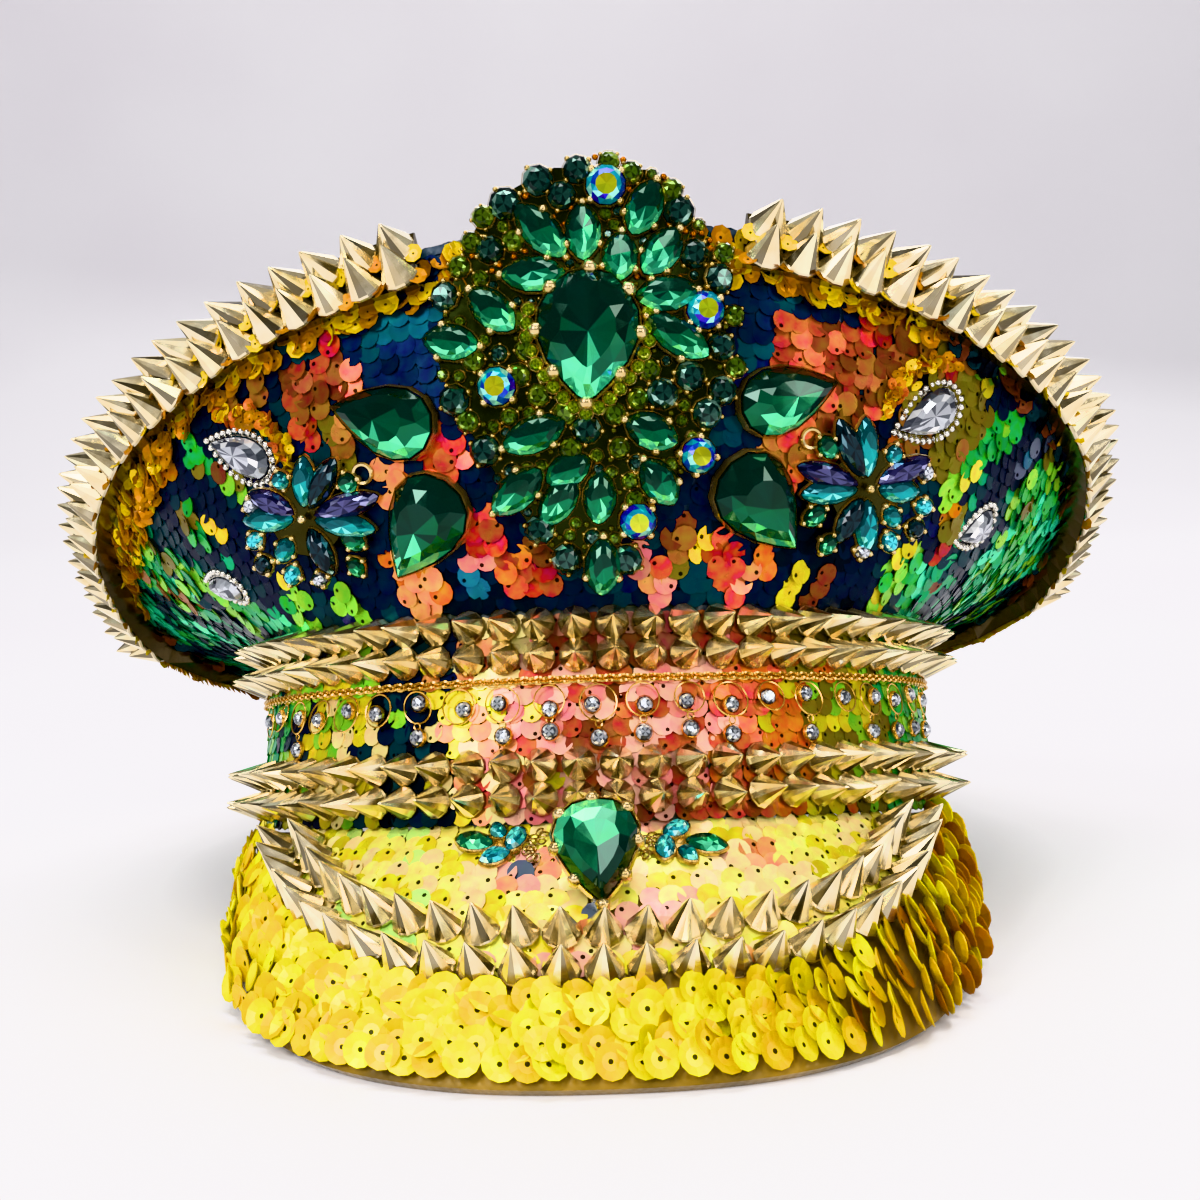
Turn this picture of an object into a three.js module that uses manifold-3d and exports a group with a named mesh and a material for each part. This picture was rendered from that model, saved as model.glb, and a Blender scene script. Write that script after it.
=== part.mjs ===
// A peaked captain's hat for a festival: a flared crown with a high front edge, an oval band,
// a steep visor, rows of cone spikes, and stones in settings on the front.
// Millimetres, +Z up. Inside the hat's own frame the band's rim lies in the plane z = 0,
// -Y is the front and +X is the wearer's left. The whole hat then leans back by its resting
// tilt, so that the rim's back and the visor's edge stand on one level surface.
import * as THREE from 'three';
import { mergeVertices } from 'three/addons/utils/BufferGeometryUtils.js';
import Module from 'manifold-3d';

const wasm = await Module();
wasm.setup();

// ---------- driving dimensions ----------

const degrees = THREE.MathUtils.degToRad;
const CLEARANCE = 0.3;
const RESTING_TILT = degrees(12.6);

const band = { halfWidth: 88, halfLength: 98, height: 48, taper: 3, wall: 2, sides: 48 };

const crown = {
  halfWidth: 134,
  halfLength: 125,
  setBack: 16,
  wall: 2,
  bulge: 4,
  fullRise: 50,
  sideTilt: 0.028,
  sides: 48,
  wallRows: 3,
  topMiddle: 86,
  topRings: [0.4, 0.78],
  topCurve: 1.4,
};
// Height of the crown's edge above the band, every 15 degrees from the front to the back.
const crownEdgeRise = [82, 79, 72.5, 63, 52.5, 41, 27, 12, 4, -1, -5, -8, -8];

const visor = {
  halfWidth: 89,
  frontReach: 139,
  sideReach: 20,
  squareness: 2.5,
  thickness: 2.5,
  footInset: 3,
  footDrop: 2.7,
  bulge: 3,
  bulgeRise: 0.6,
  endAngle: degrees(88),
  endWidth: 0.1,
  endSharpness: 6,
  widening: 0.1,
  shares: [0, 0.33, 0.67, 1],
  sections: 30,
};

const spike = { height: 9, width: 7, backing: 1 };

// Rows of spikes on the band: the height of each row's middle above the rim.
const bandRows = [
  { name: 'band_spikes_1', height: 44.3 },
  { name: 'band_spikes_2', height: 37 },
  { name: 'band_spikes_3', height: 12.9 },
  { name: 'band_spikes_4', height: 5.4 },
];
const bandSpikeCount = 70;

// Rows of spikes on the crown's edge run from the brooch's gap round to the back, where the
// strip goes on plain. Both rows lean up and out over the edge, the outer row the most, and lie
// further from the edge at the sides.
const edgeRow = {
  startAngle: degrees(15.5),
  lastSpikeAngle: degrees(105),
  spikesEachSide: 25,
  plainCells: 14,
  lift: 0.5,
  sideDrop: 3,
  sideSharpness: 6,
  inner: { drop: 7.2, lean: degrees(42) },
  outer: { drop: 0, lean: degrees(62) },
};

// Rows of spikes on the visor: half of the angle that each spans, and how far down the visor
// its middle and its ends lie, as fractions of the visor's width.
const visorRows = [
  { name: 'visor_spikes_inner', span: degrees(50), middle: 0.48, end: 0.09, bend: 3.2, count: 23 },
  { name: 'visor_spikes_outer', span: degrees(58), middle: 0.62, end: 0.12, bend: 3.4, count: 27 },
];

const sequinTrim = {
  lift: 0.8,
  thickness: 1,
  top: 10.4,
  topBehindBrooch: 1,
  frontWidth: 4,
  sideWidth: 10,
};
const visorTrim = {
  lift: 0.7,
  thickness: 1.6,
  angleShare: 0.98,
  top: { span: degrees(65), middle: 0.71, end: 0.1, bend: 3.4 },
  bottom: 0.98,
};

const chain = { height: 31.6, radius: 1.2, sides: 4, steps: 40 };

// Kite-shaped drops under the chain, short and long in turn. Each is widest, and highest, at
// these shares of its drop.
const pendants = {
  halfSpan: degrees(66),
  count: 19,
  shortDrop: 8,
  longDrop: 14.2,
  width: 6.5,
  girdle: 1.4,
  height: 3,
  widestAt: 0.55,
  highestAt: 0.6,
};

// ---------- stones ----------

// Every stone is a low solid cut like a gem: a girdle above its base, and a smaller table on top.
const cut = { girdle: 0.35, foot: 0.86, table: 0.5 };

// The brooch is laid out in its own plane, across and up from the middle of its main stone. Its
// places are drawn a little larger than life, and the whole leans to the wearer's left.
const brooch = {
  across: 0.7,
  rise: 58.4,
  scale: 0.95,
  lean: degrees(-2.4),
  plateLift: 2.1,
  plateThickness: 1.4,
};

// The edge of the plate that carries the brooch's stones: its left and right limits at each
// height, from the top down.
const broochPlateRows = [
  { up: 41, left: -5, right: 11 },
  { up: 37, left: -14, right: 19 },
  { up: 31, left: -25, right: 25 },
  { up: 20, left: -31, right: 31 },
  { up: 8, left: -34, right: 33 },
  { up: -4, left: -36, right: 33 },
  { up: -14, left: -32, right: 32 },
  { up: -24, left: -26, right: 28 },
  { up: -36, left: -19, right: 16 },
  { up: -46, left: -12, right: 10 },
  { up: -54, left: -1, right: 7 },
];

const mainStone = { length: 29, width: 22, height: 8, lift: 0.2, broadening: 0.12, sides: 12 };

// Long pointed stones: the middle of each, its length, and the way that its tip points.
const marquises = [
  { across: -10.8, up: 24.2, length: 15.5, turn: 129 },
  { across: -1.3, up: 23.2, length: 13, turn: 92 },
  { across: 12.2, up: 29.8, length: 13, turn: 70 },
  { across: 6.8, up: 17.7, length: 11.2, turn: 88 },
  { across: 16, up: 19.2, length: 13, turn: 56 },
  { across: -12.1, up: 13.6, length: 14.5, turn: 175 },
  { across: 17, up: 9.8, length: 14, turn: 12 },
  { across: 19.4, up: 0.5, length: 16, turn: -27 },
  { across: -21, up: 5.9, length: 13.5, turn: 132 },
  { across: -29.8, up: -1, length: 13, turn: 164 },
  { across: -11.3, up: -21.6, length: 15, turn: 200 },
  { across: 13.8, up: -20.6, length: 12.5, turn: -20 },
  { across: -14.8, up: -34, length: 14.5, turn: 218 },
  { across: 15.6, up: -31.6, length: 12, turn: -51 },
  { across: 3.8, up: -50.9, length: 13, turn: 270 },
];
const marquiseWidth = 8;
const marquiseHeight = 4.2;
const marquiseLift = 0.45;

const roundStones = [
  { across: 3.6, up: 34.6, diameter: 8.8 },
  { across: 25.5, up: 6.6, diameter: 8.5 },
  { across: -19.5, up: -11, diameter: 8.5 },
  { across: 24, up: -25.4, diameter: 8 },
  { across: 11.2, up: -40.6, diameter: 8 },
];
const roundStoneHeight = 4;
const roundStoneSides = 8;

// Smaller stones that are part of the plate: dark round ones, olive ones, and the petals of the
// lower flower that are too close together to stand alone.
const darkStones = [
  [-11.8, 35.6], [-19, 30.5], [-2.8, 38], [-6.3, 32.2], [20.3, 29.3], [23.5, 19.5], [-22, 19.5],
  [29, 14.2], [-32, 9.5], [29.2, -1], [22.3, -8], [29.4, -10.8], [16.3, -12.3], [26, -16],
  [-29, -13.5], [0, -20.5], [-22, -25], [-10, -43], [-4, -49.5], [9.3, -49.5],
];
const oliveStones = [
  [4.3, 39.8], [9.2, 37.6], [18.4, 34], [-24, 27.5], [-26.5, 22], [-29, 16], [-17, 21.5],
  [30.4, 20], [32.3, 6.1], [32.5, -5.5], [-25, -5], [-26, -18.5], [-15, -8.5], [-15.5, 3.5],
  [-13.5, -3], [-10.5, -13], [-5, -17], [6, -17], [11, -13.5], [13.5, -7], [-3.5, -25], [7, -24.5],
];
const lowerPetals = [
  { across: -4, up: -29.5, length: 11, turn: 207 },
  { across: -6, up: -36.5, length: 13, turn: 232 },
  { across: 3, up: -35.5, length: 12, turn: 268 },
];
const smallStones = {
  dark: { diameter: 6, sides: 5, height: 2.6 },
  olive: { diameter: 4.3, sides: 4, height: 1.82 },
  petal: { height: 3 },
  sink: 0.6,
};

// Large pointed stones beside the brooch, each in a rim of its own.
const sideStones = [
  { name: 'left_upper', across: -44, rise: 44.2, length: 25.5, width: 16, turn: 153 },
  { name: 'left_lower', across: -36.2, rise: 19.9, length: 26, width: 18.5, turn: 229 },
  { name: 'right_upper', across: 43.4, rise: 46.3, length: 24.5, width: 15, turn: 25 },
  { name: 'right_lower', across: 37, rise: 22.7, length: 26, width: 18.5, turn: -42 },
];
const sideStoneHeight = 6.5;

const crystals = [
  { name: 'left_upper', across: -79, rise: 41.5, length: 19, width: 9.5, turn: 141 },
  { name: 'left_lower', across: -88.5, rise: 15, length: 13, width: 7, turn: 147 },
  { name: 'right_upper', across: 77, rise: 45.2, length: 19.5, width: 10.5, turn: 218 },
  { name: 'right_lower', across: 92, rise: 23.2, length: 13, width: 9, turn: 223 },
];
const crystalHeight = 3.5;
const rim = { width: 2, height: 2.2 };

// A flower's petals start at its heart and reach out over its plate, with beads between them.
// Its plate is a wedge on the wall, so that it faces more to the front than the wall does.
const flower = {
  lift: 4.2,
  lean: degrees(15),
  plateRadius: 13,
  plateSides: 8,
  plateThickness: 1,
  partLift: 0.6,
  heart: 2.6,
  petalWidth: 5.8,
  petalHeight: 3.2,
  beadWidth: 4.6,
  beadHeight: 3,
  beadSides: 5,
};
const flowers = [
  {
    name: 'flower_left',
    across: -61,
    rise: 26.2,
    petals: [
      { turn: 66, reach: 14.5 }, { turn: 38, reach: 16.5 }, { turn: -4, reach: 19.5 },
      { turn: -28, reach: 17.5 }, { turn: -86, reach: 14.5 }, { turn: 163, reach: 15.5 },
      { turn: 137, reach: 14.5 },
    ],
    beads: [[12.8, 5.2], [8.4, -10.3], [-13.4, -1.5], [-9, -6.5], [-4.4, -12.6], [-2, 10]],
  },
  {
    name: 'flower_right',
    across: 59.2,
    rise: 28.6,
    petals: [
      { turn: 132, reach: 18 }, { turn: 110, reach: 16.5 }, { turn: 38, reach: 16.5 },
      { turn: 10, reach: 13 }, { turn: 178, reach: 18.5 }, { turn: -161, reach: 16.5 },
      { turn: -104, reach: 14 }, { turn: -74, reach: 15 },
    ],
    beads: [[-12, 6.4], [-9.8, -9.8], [13.4, -1.4], [11.4, -7], [7.4, -10.6], [4, 9]],
  },
];

// The visor's stones lie across from its middle and down from the band. The gem points down the
// visor, and leans out from it on a setting with a wedge-shaped foot.
const visorGem = {
  across: -0.4,
  tipDown: 25.3,
  lift: 1.9,
  lean: degrees(32),
  turn: degrees(-86),
  length: 22.3,
  width: 18.6,
  height: 7,
  sides: 12,
  rimWidth: 1.2,
  rimHeight: 2.6,
  backing: 1,
  backingSpread: 1.06,
  footShare: 0.55,
  footGap: 0.5,
};
const cluster = {
  plateWidth: 8,
  plateSides: 6,
  plateThickness: 1,
  lift: 0.2,
  stoneWidth: 4.6,
  stoneHeight: 3.4,
  stoneLift: 0.5,
};
const clusterStones = [
  { across: 4, up: -1, length: 8, turn: 20 },
  { across: -3, up: -2.4, length: 5, turn: 0 },
  { across: -2.4, up: 2.6, length: 5, turn: 0 },
];
const visorClusters = [
  { name: 'visor_cluster_left', across: -20.5, down: 8, turn: 180 },
  { name: 'visor_cluster_right', across: 15.5, down: 8, turn: 0 },
];

// ---------- materials ----------

function finish(color, roughness, metalness) {
  return new THREE.MeshStandardMaterial({ color, roughness, metalness });
}
const finishes = {
  fabric: () => finish(0x0b3b55, 0.35, 0.3),
  goldSpikes: () => finish(0xd9b566, 0.2, 1),
  goldSequins: () => finish(0xd9a81e, 0.3, 0.8),
  goldChain: () => finish(0xcfa64a, 0.3, 1),
  setting: () => finish(0xb9a06a, 0.35, 1),
  silver: () => finish(0xc9c9cc, 0.25, 1),
  emerald: () => finish(0x0a6b46, 0.05, 0.1),
  teal: () => finish(0x157f86, 0.08, 0.2),
  clear: () => finish(0xdfe4ea, 0.05, 0.1),
  iridescent: () => finish(0x4fc3dc, 0.08, 0.3),
  visorFabric: () => finish(0xd8d584, 0.35, 0.3),
};

// ---------- closed bodies from sections ----------

const vector = (x, y, z) => new THREE.Vector3(x, y, z);

function enclosedVolume(points, faces) {
  const cross = vector(0, 0, 0);
  return faces.reduce((sum, [a, b, c]) => {
    cross.crossVectors(points[b], points[c]);
    return sum + points[a].dot(cross);
  }, 0);
}

function closedBody(points, faces) {
  const outward = enclosedVolume(points, faces) > 0;
  const positions = points.flatMap((point) => point.toArray());
  const geometry = new THREE.BufferGeometry();
  geometry.setAttribute('position', new THREE.Float32BufferAttribute(positions, 3));
  geometry.setIndex(faces.flatMap(([a, b, c]) => (outward ? [a, b, c] : [a, c, b])));
  return geometry;
}

// Joins two neighbouring sections, either of which may be a single point.
function sideFaces(faces, first, firstCount, second, secondCount) {
  const count = Math.max(firstCount, secondCount);
  for (let j = 0; j < count; j += 1) {
    const k = (j + 1) % count;
    if (firstCount > 1) faces.push([first + j, second + (secondCount > 1 ? k : 0), first + k]);
    if (secondCount > 1) faces.push([first + (firstCount > 1 ? j : 0), second + j, second + k]);
  }
}

// Fills a section's outline by rungs between its two halves, like a ladder.
function endFaces(faces, start, count, facingBack) {
  for (let low = 0, high = count - 1; low + 1 < high; low += 1, high -= 1) {
    const rung = [[start + low, start + low + 1, start + high]];
    if (low + 1 < high - 1) rung.push([start + low + 1, start + high - 1, start + high]);
    rung.forEach(([a, b, c]) => faces.push(facingBack ? [a, c, b] : [a, b, c]));
  }
}

// A closed body through a list of sections, each a closed outline of the same number of points.
// A looped loft joins its last section to its first.
function loft(sections, looped = false) {
  const points = [];
  const starts = [];
  sections.forEach((section) => {
    starts.push(points.length);
    points.push(...section);
  });
  const faces = [];
  const spans = looped ? sections.length : sections.length - 1;
  for (let i = 0; i < spans; i += 1) {
    const next = (i + 1) % sections.length;
    sideFaces(faces, starts[i], sections[i].length, starts[next], sections[next].length);
  }
  if (!looped) {
    const last = sections.length - 1;
    if (sections[0].length > 1) endFaces(faces, 0, sections[0].length, false);
    if (sections[last].length > 1) endFaces(faces, starts[last], sections[last].length, true);
  }
  return closedBody(points, faces);
}

const weldDistance = 1e-5;

function solidOf(geometry) {
  const bare = geometry.clone();
  bare.deleteAttribute('normal');
  bare.deleteAttribute('uv');
  const merged = mergeVertices(bare, weldDistance);
  return new wasm.Manifold(
    new wasm.Mesh({
      numProp: 3,
      vertProperties: merged.attributes.position.array,
      triVerts: new Uint32Array(merged.index.array),
    }),
  );
}

function joined(geometries) {
  const whole = geometries.map(solidOf).reduce((sum, next) => sum.add(next)).getMesh();
  const geometry = new THREE.BufferGeometry();
  geometry.setAttribute('position', new THREE.BufferAttribute(whole.vertProperties, 3));
  geometry.setIndex(new THREE.BufferAttribute(whole.triVerts, 1));
  return geometry;
}

const hat = new THREE.Group();

function addPiece(name, geometry, material, seat) {
  const flatShaded = geometry.index ? geometry.toNonIndexed() : geometry;
  flatShaded.computeVertexNormals();
  const mesh = new THREE.Mesh(flatShaded, material);
  mesh.name = name;
  if (seat) mesh.applyMatrix4(seat);
  hat.add(mesh);
}

// ---------- surfaces that the pieces lie on ----------

const lerp = THREE.MathUtils.lerp;

// Steps along a surface that are short enough to give its direction at a point.
const shortTurn = 0.01;
const shortStep = 0.004;

function bandPoint(angle, height, outward = 0) {
  const inset = (band.taper * height) / band.height;
  return vector(
    (band.halfWidth - inset + outward) * Math.sin(angle),
    -(band.halfLength - inset + outward) * Math.cos(angle),
    height,
  );
}

const riseCurve = new THREE.SplineCurve(
  crownEdgeRise.map((rise, step) => new THREE.Vector2(step, rise)),
);

function wrapped(angle) {
  return Math.atan2(Math.sin(angle), Math.cos(angle));
}

// The crown sits a little higher on the wearer's left.
function edgeRise(angle) {
  const tilt = crown.sideTilt * crown.halfWidth * Math.sin(angle);
  return riseCurve.getPoint(Math.abs(wrapped(angle)) / Math.PI).y + tilt;
}

function crownEdge(angle) {
  return vector(
    crown.halfWidth * Math.sin(angle),
    crown.setBack - crown.halfLength * Math.cos(angle),
    band.height + edgeRise(angle),
  );
}

// Crown wall: share 0 is its foot on the band and share 1 its upper edge.
function crownWallPoint(angle, share) {
  const foot = bandPoint(angle, band.height);
  foot.z += CLEARANCE;
  const edge = crownEdge(angle);
  const flare = edge.clone().sub(foot);
  const along = crownEdge(angle + shortTurn).sub(crownEdge(angle - shortTurn));
  const outward = along.cross(flare).normalize();
  const fullness = THREE.MathUtils.clamp(edgeRise(angle) / crown.fullRise, 0, 1);
  const swell = crown.bulge * fullness * Math.sin(Math.PI * Math.min(share, 1));
  return foot.addScaledVector(flare, share).addScaledVector(outward, swell);
}

// A seat on a surface: a point with the directions right, up and out of it.
function seatOn(surface, angle, share) {
  const at = (turn, rise) => surface(angle + turn, share + rise);
  const point = at(0, 0);
  const right = at(shortStep, 0).sub(at(-shortStep, 0)).normalize();
  const rising = at(0, shortStep).sub(at(0, -shortStep)).normalize();
  const out = right.clone().cross(rising).normalize();
  return { point, right, up: out.clone().cross(right), out };
}

const crownSeat = (angle, share) => seatOn(crownWallPoint, angle, share);
const bandSeat = (angle, height) => seatOn(bandPoint, angle, height);

// The seat on the crown's wall that lies this far across from the middle, and this high above
// the band.
function crownSeatAt(across, rise) {
  const passes = 12;
  let angle = 0;
  let share = 0;
  for (let pass = 0; pass < passes; pass += 1) {
    share = (rise - CLEARANCE) / (edgeRise(angle) - CLEARANCE);
    const halfWidth = lerp(band.halfWidth - band.taper, crown.halfWidth, share);
    angle = Math.asin(THREE.MathUtils.clamp(across / halfWidth, -1, 1));
  }
  return crownSeat(angle, share);
}

// The share of the crown's wall that lies this far below its upper edge, along the wall.
function shareBelowEdge(angle, distance) {
  const length = crownWallPoint(angle, 0).distanceTo(crownWallPoint(angle, 1));
  return 1 - distance / length;
}

function topMiddle() {
  return vector(0, crown.setBack, crown.topMiddle);
}

// The seam between the wall and the top panel: the panel's rim laps over the wall's end.
function crownLip(angle) {
  const { point, up, out } = crownSeat(angle, 1);
  const corner = (depth, rise) => point.clone().addScaledVector(out, depth).addScaledVector(up, rise);
  return {
    over: corner(-CLEARANCE, CLEARANCE + crown.wall),
    under: corner(-CLEARANCE, CLEARANCE),
    inside: corner(-crown.wall, CLEARANCE),
  };
}

// The visor's underside: share 0 is at the band, and share 1 is the outer edge, which lies in
// the plane that the hat rests on.
function visorFoot(angle) {
  return vector(
    (band.halfWidth - visor.footInset) * Math.sin(angle),
    -(band.halfLength - visor.footInset) * Math.cos(angle),
    -visor.footDrop,
  );
}

function visorUnderside(angle, share) {
  const power = 2 / visor.squareness;
  const y = -visor.sideReach
    - (visor.frontReach - visor.sideReach) * Math.abs(Math.cos(angle)) ** power;
  const edge = vector(
    visor.halfWidth * Math.sign(Math.sin(angle)) * Math.abs(Math.sin(angle)) ** power,
    y,
    (y - band.halfLength) * Math.tan(RESTING_TILT),
  );
  const foot = visorFoot(angle);
  const narrowing = (Math.abs(angle) / visor.endAngle) ** visor.endSharpness;
  const width = 1 - (1 - visor.endWidth) * narrowing;
  const swell = visor.bulge * width * 4 * share * (1 - share);
  const outward = vector(Math.sin(angle), -Math.cos(angle), visor.bulgeRise).normalize();
  return foot.lerp(edge, share * width).addScaledVector(outward, swell);
}

function visorTopside(angle, share) {
  const seat = seatOn(visorUnderside, angle, share);
  return seat.point.addScaledVector(seat.out.negate(), visor.thickness);
}

function visorSeat(angle, share) {
  const seat = seatOn(visorTopside, angle, share);
  seat.out.negate();
  seat.up.negate();
  return seat;
}

// Angles that divide a curve into steps of the same length.
function evenSteps(pointAt, from, to, steps) {
  const samples = 600;
  const lengths = [0];
  for (let i = 1; i <= samples; i += 1) {
    const start = pointAt(lerp(from, to, (i - 1) / samples));
    lengths.push(lengths[i - 1] + start.distanceTo(pointAt(lerp(from, to, i / samples))));
  }
  const angles = [];
  let sample = 0;
  for (let i = 0; i <= steps; i += 1) {
    const target = (lengths[samples] * i) / steps;
    while (sample < samples && lengths[sample + 1] < target) sample += 1;
    const span = lengths[sample + 1] - lengths[sample] || 1;
    const fraction = Math.min((target - lengths[sample]) / span, 1);
    angles.push(lerp(from, to, (sample + fraction) / samples));
  }
  return angles;
}

// ---------- rows of spikes ----------

// A strip of cells along a list of seats. Each cell carries one spike or lies flat. Where the
// spikes lean towards the seats' up, they stand on a wedge.
function spikeStrip(seats, isSpike, looped, lean = 0) {
  const half = (spike.width / 2) * Math.cos(lean);
  const slope = (spike.width / 2) * Math.sin(lean);
  const front = CLEARANCE + spike.backing + Math.abs(slope);
  const section = [
    [-half, front + slope], [half, front - slope], [half, CLEARANCE], [-half, CLEARANCE],
  ];
  const points = seats.flatMap(({ point, up, out }) => section.map(([across, lift]) => (
    point.clone().addScaledVector(up, across).addScaledVector(out, lift))));
  const faces = [];
  const cells = looped ? seats.length : seats.length - 1;
  for (let i = 0; i < cells; i += 1) {
    const next = (i + 1) % seats.length;
    const [lowA, highA, highBackA, lowBackA] = section.map((_, k) => i * section.length + k);
    const [lowB, highB, highBackB, lowBackB] = section.map((_, k) => next * section.length + k);
    faces.push([highA, highB, highBackB], [highA, highBackB, highBackA]);
    faces.push([highBackA, highBackB, lowBackB], [highBackA, lowBackB, lowBackA]);
    faces.push([lowBackA, lowBackB, lowB], [lowBackA, lowB, lowA]);
    if (isSpike(i)) {
      const middle = seats[i].point.clone().lerp(seats[next].point, 0.5);
      const out = seats[i].out.clone().add(seats[next].out).normalize();
      const up = seats[i].up.clone().add(seats[next].up).normalize();
      middle.addScaledVector(out, front + spike.height * Math.cos(lean));
      const apex = points.push(middle.addScaledVector(up, spike.height * Math.sin(lean))) - 1;
      faces.push([apex, lowA, lowB], [apex, lowB, highB], [apex, highB, highA], [apex, highA, lowA]);
    } else {
      faces.push([lowA, lowB, highB], [lowA, highB, highA]);
    }
  }
  if (!looped) {
    const last = (seats.length - 1) * section.length;
    faces.push([0, 1, 2], [0, 2, 3]);
    faces.push([last, last + 2, last + 1], [last, last + 3, last + 2]);
  }
  return closedBody(points, faces);
}

function makeBandSpikes({ name, height }) {
  const angles = evenSteps((angle) => bandPoint(angle, height), 0, 2 * Math.PI, bandSpikeCount);
  const seats = angles.slice(0, -1).map((angle) => bandSeat(angle, height));
  addPiece(name, spikeStrip(seats, () => true, true), finishes.goldSpikes());
}

// The angles of the cells of a row on the crown's edge, from the brooch's gap on one side
// round the back to the gap on the other.
function edgeRowAngles() {
  const { startAngle, lastSpikeAngle, spikesEachSide, plainCells } = edgeRow;
  const left = evenSteps(crownEdge, startAngle, lastSpikeAngle, spikesEachSide);
  const back = evenSteps(crownEdge, lastSpikeAngle, 2 * Math.PI - lastSpikeAngle, plainCells);
  const right = left.map((angle) => 2 * Math.PI - angle).reverse();
  return [...left, ...back.slice(1, -1), ...right];
}

// How nearly this angle faces sideways, from 0 at the front and back to 1 at the sides.
function sideways(angle) {
  return Math.abs(Math.sin(angle)) ** edgeRow.sideSharpness;
}

function makeEdgeSpikes() {
  const { spikesEachSide, plainCells } = edgeRow;
  const isSpike = (i) => i < spikesEachSide || i >= spikesEachSide + plainCells;
  ['inner', 'outer'].forEach((name) => {
    const { drop, lean } = edgeRow[name];
    const seats = edgeRowAngles().map((angle) => {
      const seat = crownSeat(angle, shareBelowEdge(angle, drop + edgeRow.sideDrop * sideways(angle)));
      seat.point.addScaledVector(seat.out, edgeRow.lift);
      return seat;
    });
    const strip = spikeStrip(seats, isSpike, false, lean);
    addPiece(`crown_spikes_${name}`, strip, finishes.goldSpikes());
  });
}

// How far down the visor a row of spikes lies at this angle.
function rowShare({ span, middle, end, bend }, angle) {
  return lerp(middle, end, Math.min(Math.abs(angle) / span, 1) ** bend);
}

function makeVisorSpikes(row) {
  const onRow = (angle) => visorTopside(angle, rowShare(row, angle));
  const seats = evenSteps(onRow, -row.span, row.span, row.count).map((angle) => {
    const { point, out } = visorSeat(angle, rowShare(row, angle));
    const right = onRow(angle + shortTurn).sub(onRow(angle - shortTurn)).normalize();
    return { point, out, up: out.clone().cross(right) };
  });
  addPiece(row.name, spikeStrip(seats, () => true, false), finishes.goldSpikes());
}

// ---------- band, crown and visor ----------

function anglesRound(count) {
  return Array.from({ length: count }, (_, i) => (2 * Math.PI * i) / count);
}

function makeBand() {
  const sections = anglesRound(band.sides).map((angle) => [
    bandPoint(angle, 0),
    bandPoint(angle, band.height),
    bandPoint(angle, band.height, -band.wall),
    bandPoint(angle, 0, -band.wall),
  ]);
  addPiece('hat_band', loft(sections, true), finishes.fabric());
}

function makeCrownSide() {
  const shares = Array.from({ length: crown.wallRows + 1 }, (_, i) => i / crown.wallRows);
  const sections = anglesRound(crown.sides).map((angle) => {
    const seats = shares.map((share) => crownSeat(angle, share));
    const inside = seats.map(({ point, out }) => point.clone().addScaledVector(out, -crown.wall));
    return [...seats.map(({ point }) => point), ...inside.reverse()];
  });
  addPiece('crown_side', loft(sections, true), finishes.fabric());
}

function topPanelPoint(angle, share, lower) {
  const edge = crownLip(angle).over;
  const point = topMiddle().lerp(edge, share);
  point.z = lerp(crown.topMiddle, edge.z, share ** crown.topCurve) - lower;
  return point;
}

function makeCrownTop() {
  const angles = anglesRound(crown.sides);
  const ring = (share, lower) => angles.map((angle) => topPanelPoint(angle, share, lower));
  const lips = angles.map(crownLip);
  const sections = [
    [topMiddle()],
    ...crown.topRings.map((share) => ring(share, 0)),
    lips.map(({ over }) => over),
    lips.map(({ under }) => under),
    lips.map(({ inside }) => inside),
    ...crown.topRings.map((share) => ring(share, crown.wall)).reverse(),
    [topMiddle().setZ(crown.topMiddle - crown.wall)],
  ];
  addPiece('crown_top', loft(sections), finishes.fabric());
}

function makeCrownEdgeTrim() {
  const sections = anglesRound(crown.sides).map((angle) => {
    const behindBrooch = Math.abs(wrapped(angle)) < edgeRow.startAngle / 2;
    const start = sequinTrim.top + edgeRow.sideDrop * sideways(angle);
    const top = behindBrooch ? sequinTrim.topBehindBrooch : start;
    const bottom = start + lerp(sequinTrim.frontWidth, sequinTrim.sideWidth, sideways(angle));
    return [[top, 0], [top, 1], [bottom, 1], [bottom, 0]].map(([drop, layer]) => {
      const { point, out } = crownSeat(angle, shareBelowEdge(angle, drop));
      return point.addScaledVector(out, sequinTrim.lift + layer * sequinTrim.thickness);
    });
  });
  addPiece('crown_edge_trim', loft(sections, true), finishes.goldSequins());
}

function visorAngles(reach) {
  return Array.from({ length: visor.sections + 1 }, (_, i) => lerp(-reach, reach, i / visor.sections));
}

function makeVisor() {
  const sections = visorAngles(visor.endAngle).map((angle) => [
    ...visor.shares.map((share) => visorTopside(angle, share)),
    ...visor.shares.map((share) => visorUnderside(angle, share)).reverse(),
  ]);
  addPiece('visor', loft(sections), finishes.visorFabric());
}

function makeVisorTrim() {
  const sections = visorAngles(visor.endAngle * visorTrim.angleShare).map((angle) => {
    const start = rowShare(visorTrim.top, angle);
    const end = visorTrim.bottom;
    const middle = lerp(start, end, 0.5);
    const corners = [[start, 0], [start, 1], [middle, 1], [end, 1], [end, 0], [middle, 0]];
    return corners.map(([share, layer]) => {
      const { point, out } = visorSeat(angle, share);
      return point.addScaledVector(out, visorTrim.lift + layer * visorTrim.thickness);
    });
  });
  addPiece('visor_sequin_trim', loft(sections), finishes.goldSequins());
}

// ---------- the chain round the band ----------

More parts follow.
